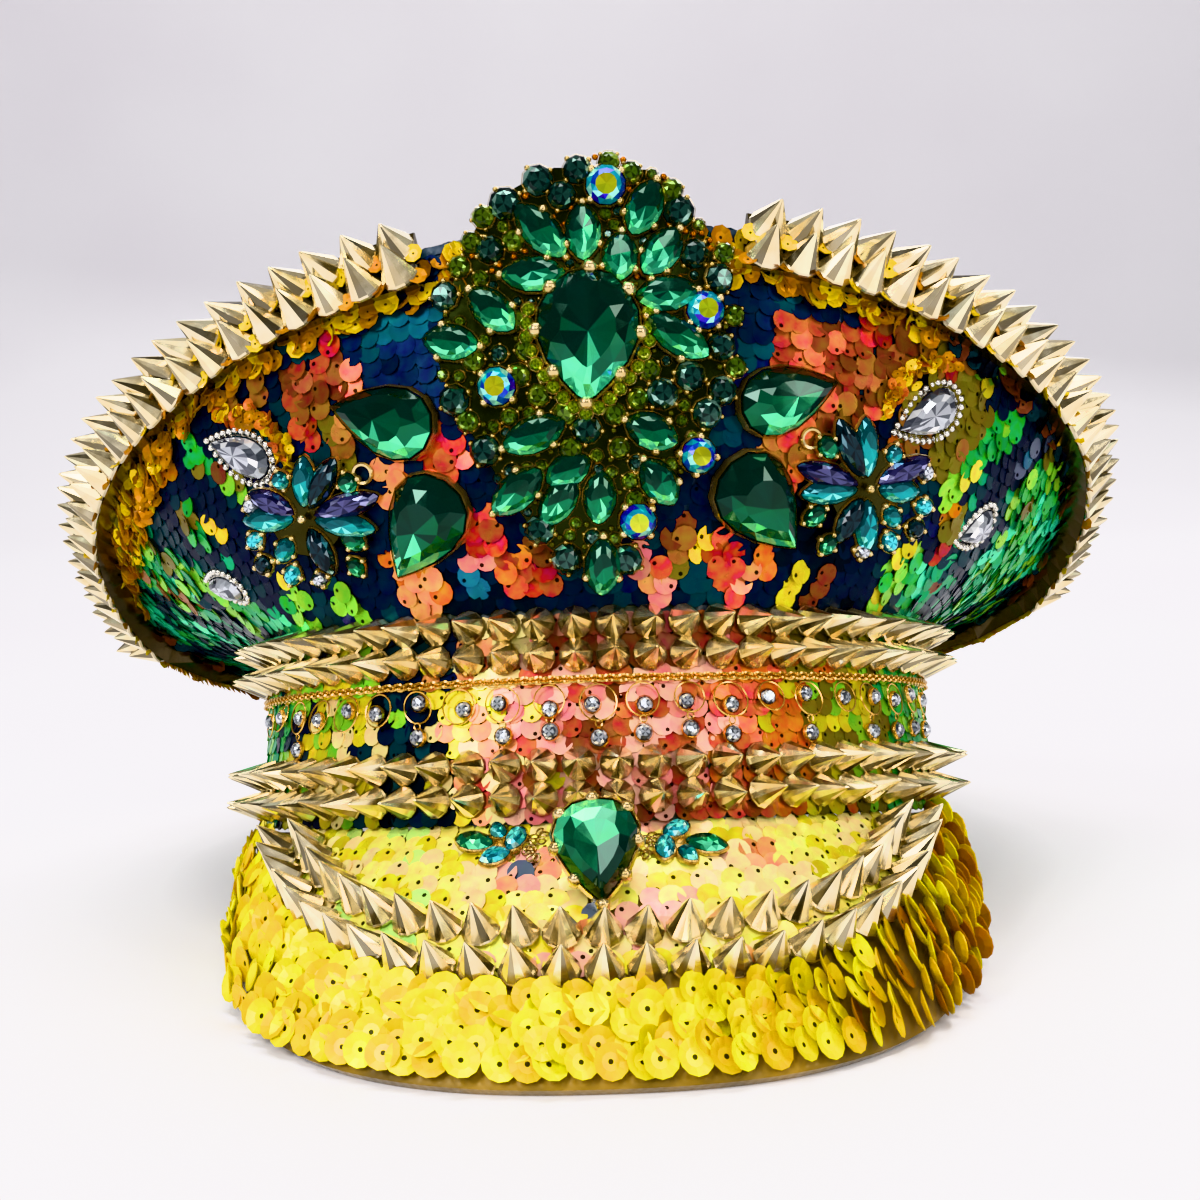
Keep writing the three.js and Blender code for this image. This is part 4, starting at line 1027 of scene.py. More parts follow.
def make_edge_trim():
    """Amber gold sequins under the crown's edge spikes, between them, and behind the brooch."""
    rng = np.random.default_rng(16)
    across = EDGE_TRIM["across"]
    rows = []
    for row in range(EDGE_TRIM["rows"]):
        at = np.linspace(-math.pi, math.pi, across + 1)[:-1] + rng.normal(0, 0.008, across)
        drop = EDGE_TRIM["first_row"] + EDGE_TRIM["row_gap"] * row + rng.normal(0, 0.6, across)
        nearness = np.exp(-((np.degrees(at) - EDGE_TRIM["widest"]) / EDGE_TRIM["reach"]) ** 2)
        bottom = lerp(EDGE_TRIM["bottom"], EDGE_TRIM["wide_bottom"], nearness)
        top = np.where(np.abs(at) < EDGE_ROW["start"], 0, EDGE_TRIM["top"] + 3 * sideways(at))
        inside = (drop < bottom - 2) & (drop > top)
        rows.append((at[inside], drop[inside]))
    angle, drop = joined(rows)
    count = len(angle)
    seats = seats_on(crown_wall, angle, share_below_edge(angle, drop))
    seats = seats.moved(out=1.1 + rng.uniform(0, 0.8, count))
    colours = picked(rng, "amber gold amber", count)
    first, last = np.radians(EDGE_TRIM["bright_between"])
    paint(colours, rng, (angle > last) | (angle < first), "teal brown ink")
    seats = seats.ruffled(rng, up=(0.35, 0.3), right=(0, 0.35))
    gathering = Gathering()
    gathering.add(SMALL_CUP, seats, colours, rng.uniform(0.85, 1.15, count))
    for row in EDGE_ROWS.values():
        ends = edge_row_seats(row)[0]
        ends = ends[np.arange(len(ends)) != EDGE_ROW["each_side"]]
        between = ends.moved(up=rng.normal(-2.6, 0.5, len(ends)), out=0.8)
        between = between.ruffled(rng, up=(0, 0.3), right=(0, 0.3))
        gathering.add(SMALL_CUP, between, picked(rng, "gold amber", len(ends)), 0.85)
    gathering.piece("crown_edge_sequins", GOLD_SEQUIN, ["crown_edge_trim"])


# ---------- spikes ----------

# A cone's radius and height from its flange to its tip, and its flange's steps in painted shade.
CONE_PROFILE = [(3.55, 0.0), (3.85, 0.3), (3.9, 0.9), (3.7, 1.3), (0.42, 9.3), (0.0, 10.0)]
FLANGE_PAINTED_SHADE = [0.3, 0.5, 0.75]
CONE_SIDES = 12


def cone_shape(rng, width):
    """A polished cone, whose sides are painted light and dark by turns, as painted reflections."""
    profile = [(radius * width, height) for radius, height in CONE_PROFILE]
    points, faces, _ = turned_shape(profile, CONE_SIDES)
    # Painted reflections: the sides light by turns, and every third one dark.
    painted_reflection = rng.uniform(0.85, 1.15, CONE_SIDES)
    painted_reflection[rng.integers(2)::3] = rng.uniform(0.12, 0.4, CONE_SIDES // 3)
    # The flange is painted darker towards its foot, as painted shade where the cones meet.
    flange = np.repeat(FLANGE_PAINTED_SHADE, CONE_SIDES)
    return points, faces, [FLANGE_PAINTED_SHADE[0], *flange, *painted_reflection, *painted_reflection]


def cells_between(seats, looped):
    """The seat in the middle of each cell between neighbouring seats."""
    index = np.arange(len(seats) if looped else len(seats) - 1)
    here, there = seats[index], seats[(index + 1) % len(seats)]
    out = unit(here.out + there.out)
    point = (here.point + there.point) / 2
    right = unit(there.point - here.point)
    return Seats(point, right, unit(np.cross(out, right)), out)


def place_spikes(name, cells, seed, width=1.0, kinds=5):
    """A row of cones in place of a packed row of spikes. They come in a few kinds of painted
    reflections.
    """
    rng = np.random.default_rng(seed)
    count = len(cells)
    cells = cells.turned(rng.uniform(0, math.pi, count))
    cells = cells.ruffled(rng, up=(0, 0.035), right=(0, 0.035))
    gathering = Gathering()
    for kind in range(kinds):
        gathering.add(cone_shape(rng, width), cells[np.arange(count) % kinds == kind])
    return gathering.piece(name.replace("spikes", "cones"), SPIKE_GOLD, [name])


STRIP_SHADE = (0.1, 0.09, 0.07)


def wedge_strip(name, seats, lean, lift):
    """The strip that a leaning row of cones stands on, from the crown's wall to their feet. Its
    back reaches the wall, and lies at least 1 mm behind its face."""
    lean, lift = lean[:, None], lift[:, None]
    wall_out = seats.out * np.cos(lean) - seats.up * np.sin(lean)
    half = EDGE_STRIP_WIDTH / 2
    upper, lower = seats.point + seats.up * half, seats.point - seats.up * half
    to_wall = CLEARANCE - lift
    behind_lower = lower + wall_out * (to_wall - half * np.sin(lean))
    behind_upper = upper + wall_out * np.minimum(to_wall + half * np.sin(lean), -1)
    points = np.stack([upper, lower, behind_lower, behind_upper], axis=1).reshape(-1, 3)
    last = len(points) - 4
    faces = grid_faces(len(seats), 4, True)
    faces += [(0, 1, 2, 3), (last + 3, last + 2, last + 1, last)]
    shape = (points, [face[::-1] for face in faces], None)
    one_piece(name, SPIKE_GOLD, shape, HERE, STRIP_SHADE)


def make_band_spikes():
    for seed, (name, height) in enumerate(BAND_ROWS, 20):
        on_row = lambda angle: band_point(angle, height)
        angles = even_steps(on_row, 0, 2 * math.pi, BAND_SPIKE_COUNT)[:-1]
        cells = cells_between(seats_on(band_point, angles, np.full(len(angles), height)), looped=True)
        place_spikes(name, cells.moved(out=CLEARANCE + 0.6), seed)


def edge_row_angles():
    """The cells' ends on the crown's edge, from the brooch's gap round the back to it again."""
    start, last = EDGE_ROW["start"], EDGE_ROW["last"]
    left = even_steps(crown_edge, start, last, EDGE_ROW["each_side"])
    back = even_steps(crown_edge, last, 2 * math.pi - last, EDGE_ROW["plain_cells"])
    right = 2 * math.pi - left[::-1]
    return np.concatenate([left, back[1:-1], right])


def sideways(angle):
    """How nearly this angle faces sideways, from 0 at the front and back to 1 at the sides."""
    return np.abs(np.sin(angle)) ** 6


def edge_row_seats(row):
    """The ends of a row's cells, leaning as its cones do, and how far each leans and lifts."""
    angles = edge_row_angles()
    drop, lift = (lerp(*row[key], sideways(angles)) for key in ("drop", "lift"))
    lean = lerp(*np.radians(row["lean"]), sideways(angles))
    seats = seats_on(crown_wall, angles, share_below_edge(angles, drop))
    return seats.moved(out=lift).leaning(up=lean), lean, lift


def make_edge_spikes():
    each, plain = EDGE_ROW["each_side"], EDGE_ROW["plain_cells"]
    for seed, (name, row) in enumerate(EDGE_ROWS.items(), 30):
        seats, lean, lift = edge_row_seats(row)
        cells = cells_between(seats, looped=False)
        index = np.arange(len(cells))
        is_plain = (index >= each) & (index < each + plain)
        place_spikes(name, cells[~is_plain], seed, width=1.18)
        wedge_strip(name.replace("spikes", "strip"), seats, lean, lift)
        place_back_braid(name.replace("spikes", "braid"), seats[each:each + plain + 1], seed + 10)


def place_back_braid(name, seats, seed):
    """Gold sequins that overlap along the crown's edge at the back, where it has no spikes."""
    rng = np.random.default_rng(seed)
    fine = np.linspace(0, len(seats) - 1, 150)
    low = np.minimum(fine.astype(int), len(seats) - 2)
    share = (fine - low)[:, None]
    blend = lambda values: lerp(values[low], values[low + 1], share)
    directions = (unit(blend(values)) for values in (seats.right, seats.up, seats.out))
    line = Seats(blend(seats.point), *directions)
    gathering = Gathering()
    for across in (-1.6, 1.6):
        row = line.moved(up=across, out=0.9)
        overlap = rng.normal(0.35, 0.08, len(row))
        row = row.leaning(up=rng.normal(across * 0.08, 0.05, len(row)), right=overlap)
        gathering.add(SMALL_CUP, row, picked(rng, "amber gold", len(row)))
    gathering.piece(name, GOLD_SEQUIN)


def make_visor_spikes():
    for seed, (name, row) in enumerate(VISOR_ROWS.items(), 40):
        on_row = lambda angle: visor_topside(angle, row_share(row, angle))
        span = math.radians(row["span"])
        angles = even_steps(on_row, -span, span, row["count"])
        cells = cells_between(visor_seats(angles, row_share(row, angles)), looped=False)
        place_spikes(name, cells.moved(out=CLEARANCE + 1), seed, width=1.1)


# ---------- stones ----------

# The painted light in each kind of stone: deep as painted shade, middling, and a bright glint.
STONES = {
    "emerald": ((0, 46, 30), (0, 100, 62), (110, 236, 180)),
    "forest": ((0, 38, 26), (0, 78, 48), (90, 220, 160)),
    "dark": ((16, 32, 28), (44, 72, 64), (124, 160, 148)),
    "olive": ((34, 50, 10), (74, 100, 28), (150, 174, 76)),
    "peridot": ((70, 92, 10), (124, 146, 28), (206, 214, 96)),
    "aurora": ((10, 50, 170), (30, 160, 180), (150, 230, 216)),
    "teal": ((0, 70, 76), (16, 130, 132), (120, 220, 214)),
    "violet": ((26, 26, 52), (60, 60, 98), (150, 150, 192)),
    "night": ((4, 14, 20), (12, 34, 42), (80, 112, 122)),
    "sky": ((20, 110, 122), (70, 190, 200), (190, 244, 240)),
    "clear": ((84, 88, 96), (176, 180, 186), (255, 255, 255)),
}
YELLOW_CENTRE = (170, 176, 36)
LIT_BELOW = {"emerald", "forest", "teal"}
# Painted light for the kinds not lit from below: each facet takes one of these at random.
RANDOM_FACET_LIGHTS = ["deep", "mid", "mid", "bright"]
RANDOM_FACET_CHANCES = [0.4, 0.25, 0.2, 0.15]
PEAR_FULLEST = 0.77  # the largest value of sin(turn) sin(turn / 2)
DROP_NARROWING, DROP_START, DROP_FULLNESS = 0.34, 0.35, 1.06

# How wide each cut is, at each turn round it from its tip: half is what an oval would have there.
CUTS = {
    "round": lambda half, turn: half,
    "marquise": lambda half, turn: half * np.abs(np.sin(turn)) ** 0.35,
    "pear": lambda half, turn: half * np.sin(turn / 2) / PEAR_FULLEST,
    "drop": lambda half, turn: half * drop_width(np.cos(turn)) * DROP_FULLNESS,
}


def drop_width(along):
    """A drop's width: a broad round end, and a narrow one along the first direction."""
    return 1 - DROP_NARROWING * (along + DROP_START) ** 2 * (along > -DROP_START)


def outline_of(cut, length, width, sides):
    """A stone's outline, with its tip, or the first of its two tips, along the first direction."""
    turn = 2 * math.pi * np.arange(sides) / sides
    half = width / 2 * np.sin(turn)
    return np.stack([length / 2 * np.cos(turn), CUTS[cut](half, turn)], axis=1)


def cut_stone(outline, height, kind, rng, centre="mid", below=(0, -1)):
    """A stone cut in facets: a girdle, two rows of facets and a table. Each facet is painted with
    one light, deep, middling or bright, as painted shade and glints. below is the way down in the
    stone's own plane: the clearer kinds are painted bright on that side, and deep above."""
    sides = len(outline)
    halfway = (outline + np.roll(outline, -1, axis=0)) / 2
    levels = [
        (outline * 0.86, 0.0), (outline, 0.3), (outline * 0.985, 0.42),
        (halfway * 0.8, 0.78), (outline * 0.54, 0.985),
    ]
    rings = [flat_ring(ring, share * height) for ring, share in levels]
    points = np.vstack(rings + [[0, 0, height]])
    girdle, shoulder, table, tip = 2 * sides, 3 * sides, 4 * sides, 5 * sides
    reach = np.abs(outline @ np.array(below)).max()

    def light_at(corner):
        if kind not in LIT_BELOW:
            return rng.choice(RANDOM_FACET_LIGHTS, p=RANDOM_FACET_CHANCES)
        lit = points[corner, :2] @ below / reach + rng.normal(0, 0.2)
        return "bright" if lit > 0.66 else "mid" if lit > 0 else "deep"

    def table_light(i):
        if kind in LIT_BELOW:
            return light_at(table + i)
        return "deep" if i % 3 == 1 and centre == "mid" else centre

    faces = [tuple(range(sides))[::-1]] + bridge(0, sides, sides) + bridge(sides, girdle, sides)
    lights = ["deep"] * len(faces)
    for i in range(sides):
        j, h = (i + 1) % sides, (i - 1) % sides
        lower, kite = light_at(girdle + i), light_at(shoulder + i)
        faces += [(girdle + i, girdle + j, shoulder + i), (girdle + i, shoulder + i, shoulder + h)]
        faces += [(shoulder + h, shoulder + i, table + i), (table + i, shoulder + i, table + j)]
        lights += [lower, lower, kite, kite]
    faces += [(table + i, table + (i + 1) % sides, tip) for i in range(sides)]
    lights += [table_light(i) for i in range(sides)]
    tints = dict(zip(("deep", "mid", "bright", "yellow"), (*STONES[kind], YELLOW_CENTRE)))
    return points, faces, [linear(*tints[light]) * rng.uniform(0.8, 1.2) for light in lights]


def way_down(seat):
    """The way down in a seat's own plane, for the painted light inside its stone."""
    return unit(np.array([-seat.right[0, 2], -seat.up[0, 2]]))


def place_stone(seat, outline, height, kind, rng, stones, settings, wall=0.45, wall_height=1.2):
    """A cut stone with a thin collar round it."""
    stones.add(cut_stone(outline, height, kind, rng, below=way_down(seat)), seat)
    settings.add(collar(outline, wall, wall_height), seat)


def collar(outline, width, height):
    """A metal collar round a stone's outline, with a rounded top."""
    away = unit(outline)
    rings = [(0.25, 0.0), (0.25, 0.8), (width * 0.45, 1.0), (width, 0.6), (width, 0.0)]
    points = np.vstack([flat_ring(outline + away * out, share * height) for out, share in rings])
    sides, faces = len(outline), []
    for level in range(len(rings)):
        faces += bridge(level * sides, (level + 1) % len(rings) * sides, sides)
    return points, [face[::-1] for face in faces], None


PRONG = turned_shape([(0.55, 0.0), (0.5, 0.6), (0.32, 1.0), (0.0, 1.12)], 7)
BEAD = turned_shape([(0.45, 0.0), (0.86, 0.32), (1.0, 0.8), (0.8, 1.4), (0.42, 1.72), (0.0, 1.8)], 10)


def along_outline(outline, gap, out):
    """Evenly spaced places along an outline that is moved outwards."""
    edge = outline + unit(outline) * out
    loop = np.vstack([edge, edge[:1]])
    lengths = np.concatenate([[0], np.cumsum(np.linalg.norm(np.diff(loop, axis=0), axis=1))])
    at = np.linspace(0, lengths[-1], max(int(lengths[-1] / gap), 3) + 1)[:-1]
    return np.stack([np.interp(at, lengths, loop[:, axis]) for axis in (0, 1)], axis=1)


def spread_from(seat, places):
    """Copies of one seat at these places in its plane."""
    count = len(places)
    copies = Seats(*(np.repeat(v, count, axis=0) for v in (seat.point, seat.right, seat.up, seat.out)))
    return copies.moved(across=places[:, 0], up=places[:, 1])


def packed_stone(node):
    """Where a packed stone sits, from its own mesh: a seat with its tip to the right, and the
    stone's length, width and height. The tip is the corner farthest from its base's middle."""
    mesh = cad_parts[node].data
    to_hat = np.linalg.inv(HAT)
    in_hat = lambda points: points @ to_hat[:3, :3].T + to_hat[:3, 3]
    points = np.unique(np.round(in_hat(np.array([v.co for v in mesh.vertices])), 3), axis=0)
    normals, centres, areas = (
        np.array([getattr(face, key) for face in mesh.polygons]) for key in ("normal", "center", "area")
    )
    same_way = (normals @ normals.T) > 0.9999
    base = (same_way @ areas).argmax()
    out = unit(-normals[base] @ to_hat[:3, :3].T)
    middle = in_hat((areas * same_way[base]) @ centres / (areas @ same_way[base]))
    depth = points @ out
    in_plane = points - middle - np.outer(depth - middle @ out, out)
    right = unit(in_plane[np.linalg.norm(in_plane, axis=1).argmax()])
    up = np.cross(out, right)
    centre, sizes = middle.copy(), []
    for axis in (right, up):
        reach = (points - middle) @ axis
        centre += axis * (reach.max() + reach.min()) / 2
        sizes.append(np.ptp(reach))
    centre += out * (depth.min() - centre @ out)
    return Seats(centre, right, up, out), *sizes, np.ptp(depth)


def set_stone(
    node, cut, kind, sides, seed, stones, settings, wall, prong_gap=None, centre="mid", lit_side=0.0,
):
    """A cut stone in place of a packed one, and what holds it. lit_side turns the stone's painted
    bright side away from straight down, in radians."""
    rng = np.random.default_rng(seed)
    seat, length, width, height = packed_stone(node)
    outline = outline_of(cut, length, width, sides)
    below = way_down(seat.turned(lit_side))
    stones.add(cut_stone(outline, height, kind, rng, centre, below), seat)
    settings.add(collar(outline, wall, height * 0.4), seat.moved(out=-0.25))
    if prong_gap:
        places = along_outline(outline, prong_gap, out=0.2)
        settings.add(PRONG, spread_from(seat, places), scale=height * 0.48)
    return seat, outline


# ---------- the brooch ----------

BROOCH = {
    "across": 0.7, "rise": 58.4, "scale": 0.95, "lean": math.radians(-2.4),
    "plate_lift": 2.1, "plate_thickness": 1.4,
}
PLATE_TOP = BROOCH["plate_lift"] + BROOCH["plate_thickness"]
# The edge of the brooch's plate: its left and right limits at each height, from the top down.
PLATE_ROWS = np.array([
    (41, -5, 11), (37, -14, 19), (31, -25, 25), (20, -31, 31), (8, -34, 33), (-4, -36, 33),
    (-14, -32, 32), (-24, -26, 28), (-36, -19, 16), (-46, -12, 10), (-54, -1, 7),
], float)
PLATE_MARGIN = 2.5
DARK_STONES = [
    (-11.8, 35.6), (-19, 30.5), (-2.8, 38), (-6.3, 32.2), (20.3, 29.3), (23.5, 19.5), (-22, 19.5),
    (29, 14.2), (-32, 9.5), (29.2, -1), (22.3, -8), (29.4, -10.8), (16.3, -12.3), (26, -16),
    (-29, -13.5), (0, -20.5), (-22, -25), (-10, -43), (-4, -49.5), (9.3, -49.5),
]
OLIVE_STONES = [
    (4.3, 39.8), (9.2, 37.6), (18.4, 34), (-24, 27.5), (-26.5, 22), (-29, 16), (-17, 21.5),
    (30.4, 20), (32.3, 6.1), (32.5, -5.5), (-25, -5), (-26, -18.5), (-15, -8.5), (-15.5, 3.5),
    (-13.5, -3), (-10.5, -13), (-5, -17), (6, -17), (11, -13.5), (13.5, -7), (-3.5, -25), (7, -24.5),
]
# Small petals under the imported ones: across, up, length and the way each points in degrees.
LOWER_PETALS = [(-4, -29.5, 11, 207), (-6, -36.5, 13, 232), (3, -35.5, 12, 268)]
PETAL_WIDTH = 7.4
SUNK = 0.2  # how far the stones' feet lie in the plate
PAVE_START = -8  # the small stones round the main one leave out its top, beyond this
AMBER_ABOVE = 12  # amber sequins show through the brooch above this height


def brooch_seats(places):
    places = np.atleast_2d(np.array(places, float)) * BROOCH["scale"]
    c, s = math.cos(BROOCH["lean"]), math.sin(BROOCH["lean"])
    turned = places @ np.array([[c, s], [-s, c]])
    return crown_seats_at(turned[:, 0] + BROOCH["across"], turned[:, 1] + BROOCH["rise"])


def plate_limits(up, margin):
    left, right = (np.interp(-up, -PLATE_ROWS[:, 0], PLATE_ROWS[:, side]) for side in (1, 2))
    return left + margin, right - margin


def brooch_places(points):
    """How far across and up the brooch these points of the hat lie, in the tables' units."""
    flat = points[:, [0, 2]] - [BROOCH["across"], BAND["height"] + BROOCH["rise"]]
    c, s = math.cos(BROOCH["lean"]), math.sin(BROOCH["lean"])
    return flat @ np.array([[c, -s], [s, c]]) / BROOCH["scale"]


def brooch_plate():
    """The plate under the brooch's stones, as one grid wrapped round its thickness."""
    columns = np.linspace(0, 1, 13)
    heights = np.linspace(PLATE_ROWS[0, 0] - PLATE_MARGIN, PLATE_ROWS[-1, 0] + PLATE_MARGIN, 41)
    left, right = plate_limits(heights, PLATE_MARGIN)
    seats = brooch_seats([
        (lerp(start, end, column), up)
        for up, start, end in zip(heights, left, right) for column in columns
    ])
    shape = (len(heights), len(columns), 3)
    top, bottom = (
        (seats.point + seats.out * lift).reshape(shape) for lift in (PLATE_TOP, BROOCH["plate_lift"])
    )
    points = np.concatenate([top, bottom[:, ::-1]], axis=1)
    rows, around = points.shape[:2]
    last = (rows - 1) * around
    faces = grid_faces(rows, around, True)
    faces += [tuple(range(around))[::-1], tuple(range(last, last + around))]
    return points.reshape(-1, 3), [face[::-1] for face in faces], None


def footprint(seat, outline):
    """Where a stone covers the brooch: rings of points across and up, from its edge inwards."""
    rings = np.vstack([outline * share for share in (1, 0.75, 0.5, 0.25, 0)])
    return brooch_places(spread_from(seat, rings).point)


def free_places(rng, taken, radius, tries, gap=0.35):
    """Places on the brooch's plate for round stones of this radius, clear of what is there.
    Returns them, and taken with what they take."""
    ups = rng.uniform(PLATE_ROWS[-1, 0], PLATE_ROWS[0, 0], tries)
    left, right = plate_limits(ups, radius + 1.2)
    places = np.stack([lerp(left, right, rng.uniform(0, 1, tries)), ups], axis=1)
    rings = np.vstack([circle(radius, 8), circle(radius / 2, 4), [[0, 0]]])
    found = []
    for place in places:
        if np.linalg.norm(taken - place, axis=1).min() > radius + gap:
            found.append(place)
            taken = np.vstack([taken, rings + place])
    return np.array(found), taken


# Round stones that fill what the others leave: how often to try, the kind, diameter and height.
BROOCH_FILL = [
    (900, "olive", 4.0, 1.9), (700, "dark", 3.6, 1.8), (2500, "olive", 2.7, 1.4),
    (1500, "dark", 2.2, 1.2),
]
MARQUISES = [f"brooch_marquise_{i}" for i in range(1, 16)]
ROUNDS = [f"brooch_round_{i}" for i in range(1, 6)]


def small_stones(places, kind, diameter, height, rng, stones, settings):
    """Round stones at these places of the brooch. The larger ones have four prongs each."""
    seats = brooch_seats(places).moved(out=PLATE_TOP - SUNK)
    large = diameter > 3
    for i in range(len(seats)):
        size = diameter * rng.uniform(0.92, 1.08)
        outline = circle(size / 2, 10 if large else 8, rng.uniform(0, 1))
        seat = seats[i:i + 1].ruffled(rng, up=(0, 0.08), right=(0, 0.08))
        place_stone(seat, outline, height + 0.4, kind, rng, stones, settings, 0.3, 0.9)
        if large:
            prongs = spread_from(seat, circle(size / 2 + 0.15, 4, rng.uniform(0, 1.5)))
            settings.add(PRONG, prongs, (0.7, 0.66, 0.5), height * 0.45)


def make_brooch():
    rng = np.random.default_rng(100)
    one_piece("brooch_plate", SETTING_GOLD, brooch_plate(), HERE, (0.02, 0.035, 0.02),
              stands_for=["brooch_base"], smooth_below=40)
    main, stones, rounds, small, settings = (Gathering() for _ in range(5))

    seat, outline = set_stone(
        "brooch_main_stone", "drop", "forest", 16, 50, main, settings, wall=0.7, prong_gap=9)
    around = along_outline(outline, gap=3.1, out=2.5)
    pave = spread_from(seat, around[around[:, 0] > PAVE_START]).moved(out=0.2)
    taken = [footprint(seat, outline), brooch_places(pave.point)]
    for seed, node in enumerate(MARQUISES, 61):
        taken.append(footprint(*set_stone(
            node, "marquise", "emerald", 14, seed, stones, settings, wall=0.4, prong_gap=12)))
    for seed, node in enumerate(ROUNDS, 91):
        taken.append(footprint(*set_stone(
            node, "round", "aurora", 12, seed, rounds, settings, wall=0.5, prong_gap=6,
            centre="yellow")))
    for across, up, length, turn in LOWER_PETALS:
        place = brooch_seats((across, up)).moved(out=PLATE_TOP - SUNK)
        place = place.turned(math.radians(turn) + BROOCH["lean"])
        petal = outline_of("marquise", length, PETAL_WIDTH, 14)
        place_stone(place, petal, 3.2, "emerald", rng, stones, settings)
        taken.append(footprint(place, petal))
    for i in range(len(pave)):
        place_stone(pave[i:i + 1], circle(1.5, 8), 1.7, "peridot", rng, small, settings, 0.2, 0.7)

    for places, kind, diameter, height in (
        (DARK_STONES, "dark", 6.8, 2.8), (OLIVE_STONES, "olive", 5, 2.1),
    ):
        small_stones(places, kind, diameter, height, rng, small, settings)
        radius = diameter / 2 + 0.1
        rings = np.vstack([circle(radius, 10), circle(radius / 2, 5), [[0, 0]]])
        taken.append((np.array(places)[:, None] + rings[None]).reshape(-1, 2))
    taken = np.vstack(taken)
    for tries, kind, diameter, height in BROOCH_FILL:
        places, taken = free_places(rng, taken, diameter / 2, tries)
        small_stones(places, kind, diameter, height, rng, small, settings)
    grains, _ = free_places(rng, taken, 0.8, 1200, gap=0.1)
    behind = np.where(grains[:, 1:] > AMBER_ABOVE, COLOURS["amber"], (0.1, 0.14, 0.05))
    settings.add(BEAD, brooch_seats(grains).moved(out=PLATE_TOP - 0.4), behind, 0.75)

    main.piece("brooch_main_gem", EMERALD_STONE, ["brooch_main_stone"])
    stones.piece("brooch_marquise_gems", EMERALD_STONE, MARQUISES)
    rounds.piece("brooch_round_gems", IRIDESCENT_STONE, ROUNDS)
    small.piece("brooch_small_gems", EMERALD_STONE)
    settings.piece("brooch_settings", SETTING_GOLD, smooth_below=50)


# ---------- side stones, crystals and flowers ----------

SIDES = ("left_upper", "left_lower", "right_upper", "right_lower")


def nodes_at_sides(name):
    return [f"{name}_{side}" for side in SIDES]


def make_side_stones():
    stones, settings = Gathering(), Gathering()
    for seed, node in enumerate(nodes_at_sides("side_stone"), 110):
        set_stone(node, "pear", "forest", 16, seed, stones, settings, wall=0.8)
    stones.piece("side_gems", EMERALD_STONE, nodes_at_sides("side_stone"))
    settings.piece("side_settings", SETTING_GOLD, nodes_at_sides("side_setting"), 50)


def make_crystals():
    stones, rims = Gathering(), Gathering()
    for seed, node in enumerate(nodes_at_sides("crystal"), 120):
        seat, outline = set_stone(node, "pear", "clear", 18, seed, stones, rims, wall=0.7)
        rims.add(BEAD, spread_from(seat, along_outline(outline, gap=2.0, out=1.6)), scale=0.92)
    stones.piece("crystal_gems", CLEAR_STONE, nodes_at_sides("crystal"))
    rims.piece("crystal_rims", RIM_SILVER, nodes_at_sides("crystal_rim"), 60)


# Ruffles of small amber sequins beside the upper crystals: the angle in degrees and the height
# above the band of points along each.
TUFTS = [
    [(-42, 50), (-38.6, 50), (-36.3, 46.5), (-35.6, 40), (-37, 33)],
    [(35.2, 45), (35.2, 51.5), (37.6, 56), (41.5, 57)],
]


def make_tufts():
    rng = np.random.default_rng(17)
    gathering = Gathering()
    for path in TUFTS:
        count = 26 * (len(path) - 1)
        at = np.linspace(0, len(path) - 1, count)
        degrees, rise = (np.interp(at, np.arange(len(path)), line) for line in zip(*path))
        angle = np.radians(degrees + rng.normal(0, 0.5, count))
        rise = rise + rng.normal(0, 1.1, count)
        seats = seats_on(crown_wall, angle, rise / edge_rise(angle))
        seats = seats.moved(out=rng.uniform(1.2, 3.4, count)).turned(rng.uniform(0, 6, count))
        seats = seats.ruffled(rng, up=(0, 0.7), right=(0, 0.7))
        colours = picked(rng, "amber gold amber orange", count)
        gathering.add(SMALL_CUP, seats, colours, rng.uniform(0.45, 0.68, count))
    gathering.piece("crystal_ruffles", GOLD_SEQUIN)


FLOWER = {
    "lift": 4.2, "lean": math.radians(15), "plate_radius": 9, "plate_thickness": 1,
    "part_lift": 0.6, "heart": 2.6, "petal_width": 5.8, "petal_height": 3.2, "bead_height": 2.6,
}
